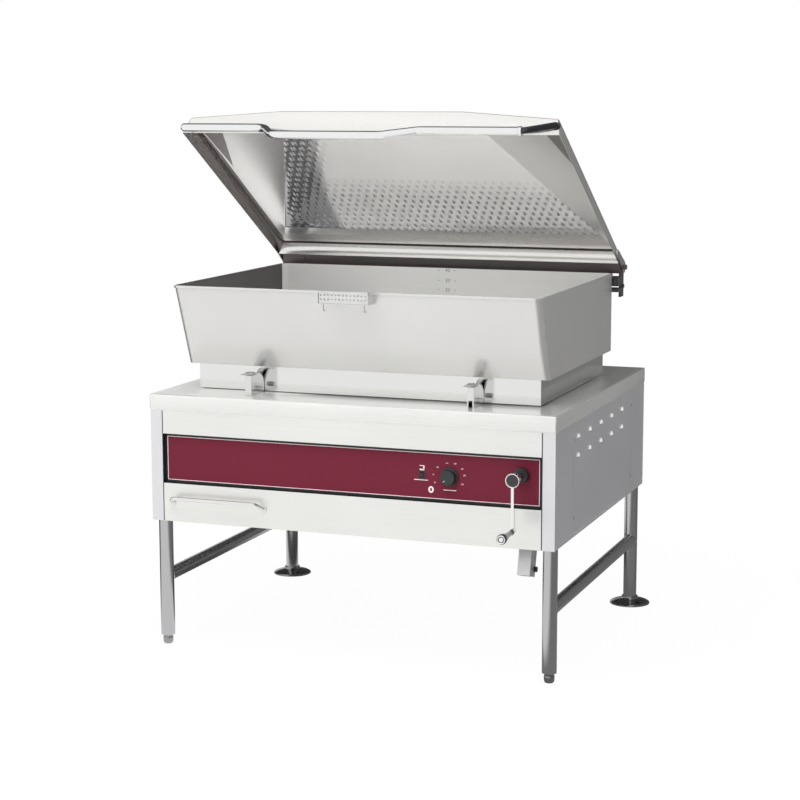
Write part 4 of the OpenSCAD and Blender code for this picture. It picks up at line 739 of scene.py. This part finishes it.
edge_x, eave_x, peak_x, back_x, low_x = 0.566, 0.554, 0.272, 0.5558, 0.520
skirt_y, eave_y, peak_y = front + 0.044, front + 0.052, front + 0.0557
low_y, back_y = front + 0.745, front + 0.833
skirt_z, eave_z, peak_z, low_z, back_z = 1.064, 1.118, 1.143, 1.1182, 1.110
lid_corners = [
    (-edge_x, skirt_y, skirt_z), (edge_x, skirt_y, skirt_z), (edge_x, back_y, skirt_z),
    (-edge_x, back_y, skirt_z), (-eave_x, eave_y, eave_z), (eave_x, eave_y, eave_z), (low_x, low_y, low_z),
    (-low_x, low_y, low_z), (-peak_x, peak_y, peak_z), (peak_x, peak_y, peak_z), (back_x, back_y, back_z),
    (-back_x, back_y, back_z)]
lid_faces = [(1, 0, 4, 8, 9, 5), (2, 1, 5, 10), (3, 2, 10, 11), (0, 3, 11, 4), (4, 7, 8), (4, 11, 7),
             (9, 6, 5), (6, 10, 5), (8, 7, 6, 9), (7, 11, 10, 6)]
lid_mesh = bpy.data.meshes.new("lid_sheet")
lid_mesh.from_pydata(opened(lid_corners).tolist(), [], lid_faces)
lid = place_piece("lid_sheet", lid_mesh, lid_steel, "lid", "satin_steel", smooth=30)
folds = lid.modifiers.new("folds", "BEVEL")
folds.width, folds.segments, folds.limit_method, folds.angle_limit = 0.003, 3, "ANGLE", math.radians(2)
thicken(lid, sheet_t, -1, True)
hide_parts("lid_shell")

# The lining's x is over * half its width there, and y and z fall evenly with down, just under the sheet. A
# dimple is max(0, cos) across a row times sin squared along the slope, and each second row is set off by
# half a pitch. Dimples fade to 0.12 of their depth outside the worn left and rear parts, and to none at the
# edges, by rise = t * t * (3 - 2 * t).
lining_front, lining_back, under = front + 0.0585, front + 0.7445, 0.00215
row_pitch, dash_pitch, dimple, edge_run = 0.030, 0.026, 0.0016, 0.014
down, over = np.meshgrid(np.linspace(0, 1, 200), np.linspace(-1, 1, 330), indexing="ij")
half = peak_x + (low_x - peak_x) * down
lining_x = over * (half - 0.001)
lining_y = lining_front + (lining_back - lining_front) * down
inside = np.minimum((1 - np.abs(over)) * half, np.minimum(down, 1 - down) * (lining_back - lining_front))
rise = np.clip(inside / edge_run, 0, 1)
rise = rise * rise * (3 - 2 * rise)
row = np.floor(lining_y / row_pitch)
dash = np.clip(np.cos(2 * np.pi * (lining_x / dash_pitch + 0.5 * (row % 2))), 0, 1)
dash = dash * np.sin(np.pi * (lining_y / row_pitch - row)) ** 2
from_left = lining_x + half
beside = np.clip((0.15 - from_left) / 0.06, 0, 1)
behind = np.clip((lining_y - front - 0.42) / 0.12, 0, 1)
worn = 0.12 + 0.88 * np.maximum(beside, behind)
lining_z = peak_z - (peak_z - low_z) * down - under - rise * (0.0003 + dimple * dash * worn)
lining = surface("dimpled_lining", opened(np.stack([lining_x, lining_y, lining_z], -1)), lining_steel, "lid",
                 "polished_steel", round_v=False, smooth=60)
# The attribute lays a painted reflection of the dark pan walls and hinge tube on the lining: it darkens a
# band at the left that widens with down squared, and the rear rows, most on the dimples, with slow waves
# across.
left_reflection_band = np.clip((0.110 + 0.11 * down ** 2 - from_left) / 0.03, 0, 1) * (0.50 + 0.25 * down)
waves = 0.5 + 0.5 * np.cos(2.2 * (lining_x - 0.10)) ** 2
shade = np.maximum(left_reflection_band, behind * (0.20 + 0.80 * dash) * waves)
painted_reflection = lining.data.attributes.new("shade", "FLOAT", "POINT")
painted_reflection.data.foreach_set("value", np.clip(shade, 0, 1).ravel())
if lining.data.polygons[len(lining.data.polygons) // 2].normal.z > 0:
    lining.data.flip_normals()
thicken(lining, 0.0006, -1)
# The black bead along the lid's inner fold is sealant, and also stands in for the gap's shade there as a
# painted shadow.
seam_shadow_black = coated("seam sealant", (0.012, 0.011, 0.011), 0.6)
seam_path = opened([(x, front + 0.8290, 1.1070) for x in (-0.553, 0.0, 0.553)])
surface("lid_seam", rod_of(seam_path, 0.0022, 12), seam_shadow_black, "lid", "black_paint")

# Lid handle: stainless tube, 24 mm, bowed forwards in the middle, on flat posts welded to the front skirt.
# Its right end has a collar, a thinner black sleeve and a round plate on the skirt.
handle_r, sleeve_r, handle_bend = 0.012, 0.0092, 0.05
handle_y, bow_y, right_y = front + 0.006, front - 0.030, front - 0.001
handle_z, bow_z, right_z = 1.059, 1.017, 1.049
handle_path = bent([(-0.5400, handle_y, handle_z), (-0.288, handle_y, handle_z), (-0.246, bow_y, bow_z),
                    (0.080, bow_y, bow_z), (0.180, right_y, right_z), (0.4690, right_y, right_z)],
                   handle_bend)
handle = surface("swept_handle", opened(rod_of(handle_path, handle_r, 36, ends=(1, 0))), chrome, "lid",
                 "polished_steel", shut=(-1,), smooth=40)
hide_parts("lid_handle")
collar = [(0.0082, 0.010), (0.0128, 0.010), (0.0136, 0.0092), (0.0136, 0.0008), (0.0128, 0), (0.0082, 0)]
surface("handle_collar", opened(turned(collar, (0.4645, right_y, right_z), (1, 0, 0), 48)), chrome, "lid",
        "bright_chrome", round_u=True)
sleeve_path = bent([(0.468, right_y, right_z), (0.484, right_y + 0.002, right_z + 0.004),
                    (0.551, front + 0.0388, 1.090)], 0.03)
surface("handle_sleeve", opened(rod_of(sleeve_path, sleeve_r, 24)), gloss_black, "lid", "black_plastic")
plate_centre, plate_axis = (0.5500, front + 0.0480, 1.0915), (0.0, -0.989, 0.147)
plate = [(0, 0.005), (0.009, 0.0048), (0.0118, 0.004), (0.013, 0.0024), (0.0132, 0.0), (0, 0.0)]
surface("handle_plate", opened(turned(plate, plate_centre, plate_axis, 48)), gloss_black, "lid",
        "black_plastic")
post_half, post_top = 0.0025, 1.078
posts = []
for x, y, drop in ((-0.532, handle_y, 0.005), (-0.312, handle_y, 0.005), (0.435, right_y, 0.015)):
    outline = [(y, skirt_z - drop), (skirt_y, skirt_z), (skirt_y + 0.0021, post_top), (y, post_top - drop)]
    post = opened([[(x + dx, *point) for point in outline] for dx in (-post_half, post_half)])
    posts.append((post, False, True, (0, -1)))
joined("handle_posts", posts, polished, "lid", "polished_steel")
dress("lid_straps", polished, 0.0006)

# Floor and backdrop, white for the camera. In reflections the room is white in front, on the left and above,
# and dark behind and on the right, as in a studio with black flags. A pool of floor behind the left corner
# stays white in them too.
to_front, to_right = (0.344, -0.926, 0.155), (0.9375, 0.348, 0.0)
pool_middle, pool_full, pool_end = (-0.98, 0.95, 0), 0.52, 0.74
floor_end = 40


def eased(maker, value, low, high, start, end):
    """Goes from start to end, gently at both, while the value goes from low to high."""
    return maker.node("ShaderNodeMapRange", {"interpolation_type": "SMOOTHSTEP"}, {
        "Value": value, "From Min": low, "From Max": high, "To Min": start, "To Max": end})


def share(maker, direction, axis):
    """How far a direction points along an axis: their dot product."""
    return maker.node("ShaderNodeVectorMath", {"operation": "DOT_PRODUCT"}, {0: direction, 1: axis}, "Value")


def room_level(maker, direction, white):
    """How bright the room is in a direction: 1 in front, falling to 0.08 behind and about 0.26 on the right,
    and 0.20 behind on the right. What the share named white gives behind is as bright as the front."""
    right_part = share(maker, direction, to_right)
    ahead = eased(maker, share(maker, direction, to_front), -0.30, 0.10, 0.0, 1.0)
    flag = eased(maker, right_part, 0.02, 0.42, 1.0, 0.20)
    beside = eased(maker, right_part, 0.30, 0.60, 0.0, 0.12)
    return 0.08 + (ahead + white * (1 - ahead)) * flag * 0.92 + beside * (1 - ahead)


floor_mesh = bpy.data.meshes.new("floor")
floor_mesh.from_pydata([(-floor_end, -floor_end, 0), (floor_end, -floor_end, 0), (floor_end, floor_end, 0),
                        (-floor_end, floor_end, 0)], [], [(0, 1, 2, 3)])
floor = bpy.data.objects.new("floor", floor_mesh)
bpy.context.scene.collection.objects.link(floor)
paint = Finish(bpy.data.materials.new("floor paint"), Base_Color=(0.86, 0.86, 0.86), Roughness=0.9,
               Specular_IOR_Level=0.0)
seen = paint.node("ShaderNodeLightPath", output="Is Camera Ray")
mirrored = paint.node("ShaderNodeLightPath", output="Is Glossy Ray")
place = paint.node("ShaderNodeTexCoord", output="Object")
spread = paint.node("ShaderNodeVectorMath", {"operation": "LENGTH"}, {0: place}, "Value")
way = paint.node("ShaderNodeVectorMath", {"operation": "NORMALIZE"}, {0: place})
fade = paint.node("ShaderNodeMapRange", {"clamp": True}, {
    "Value": spread, "From Min": 0.9, "From Max": 2.2, "To Min": 0.97, "To Max": 1.0})
apart = paint.node("ShaderNodeVectorMath", {"operation": "DISTANCE"}, {0: place, 1: pool_middle}, "Value")
pool = eased(paint, apart, pool_full, pool_end, 1.0, 0.0)
white = paint.node("ShaderNodeEmission", {}, {
    "Color": (1, 1, 1), "Strength": seen + mirrored * room_level(paint, way, pool)})
blend = paint.node("ShaderNodeMixShader", {}, {
    0: (seen + mirrored) * fade, 1: Signal(paint, paint.shader.outputs[0]), 2: white})
paint.feed(paint.tree.nodes["Material Output"].inputs["Surface"], blend)
floor.data.materials.append(paint.owner)

# Light: soft lamps from the front left, high and low, from above and from the right, all left out of
# reflections, in a pale room. A low white wall behind the left shows in reflections.
world = bpy.data.worlds.new("room")
bpy.context.scene.world = world
room = Finish(world, Color=(1, 1, 1))
seen = room.node("ShaderNodeLightPath", output="Is Camera Ray")
mirrored = room.node("ShaderNodeLightPath", output="Is Glossy Ray")
way = room.node("ShaderNodeTexCoord", output="Generated")
wall = eased(room, share(room, way, to_right), -0.12, 0.08, 0.9, 0.0)
wall = wall * eased(room, room.node("ShaderNodeSeparateXYZ", {}, {0: way}, "Z"), 0.24, 0.36, 1.0, 0.0)
room.paint(Strength=seen + mirrored * room_level(room, way, wall) + (1 - seen - mirrored) * 0.55)
for name, place, aim, size, power in (("front lamp", (-2.6, -4.2, 2.9), (0, 0, 0.7), 1.6, 8),
                                      ("top lamp", (-0.3, -2.0, 3.9), (0, 0, 0.6), 2.4, 155),
                                      ("low lamp", (-1.8, -4.6, 0.9), (0, 0, 1.3), 1.4, 36),
                                      ("right lamp", (4.6, 1.2, 2.2), (0, 0, 0.7), 2.0, 55)):
    lamp = bpy.data.lights.new(name, "AREA")
    lamp.size, lamp.energy = size, power
    holder = bpy.data.objects.new(name, lamp)
    holder.location = place
    holder.rotation_euler = (Vector(aim) - Vector(place)).to_track_quat("-Z", "Y").to_euler()
    holder.visible_glossy = False
    bpy.context.scene.collection.objects.link(holder)

# Camera at the photograph's viewing angle, looking slightly down. Its three axes come from the yaw, the
# pitch and a very small roll.
yaw, pitch, roll = math.radians(20.36), math.radians(8.89), math.radians(-0.10)
camera_place = (2.041356, -5.487415, 1.616988)
ahead = Vector((-math.sin(yaw) * math.cos(pitch), math.cos(yaw) * math.cos(pitch), -math.sin(pitch)))
level_right = Vector((math.cos(yaw), math.sin(yaw), 0))
level_up = level_right.cross(ahead)
right = math.cos(roll) * level_right + math.sin(roll) * level_up
upward = -math.sin(roll) * level_right + math.cos(roll) * level_up
lens = bpy.data.cameras.new("camera")
lens.sensor_width, lens.lens = 36, 89.377
camera = bpy.data.objects.new("camera", lens)
camera.matrix_world = Matrix.Translation(camera_place) @ Matrix((right, upward, -ahead)).transposed().to_4x4()
bpy.context.scene.collection.objects.link(camera)
bpy.context.scene.camera = camera
bpy.context.scene.view_settings.view_transform = "Standard"
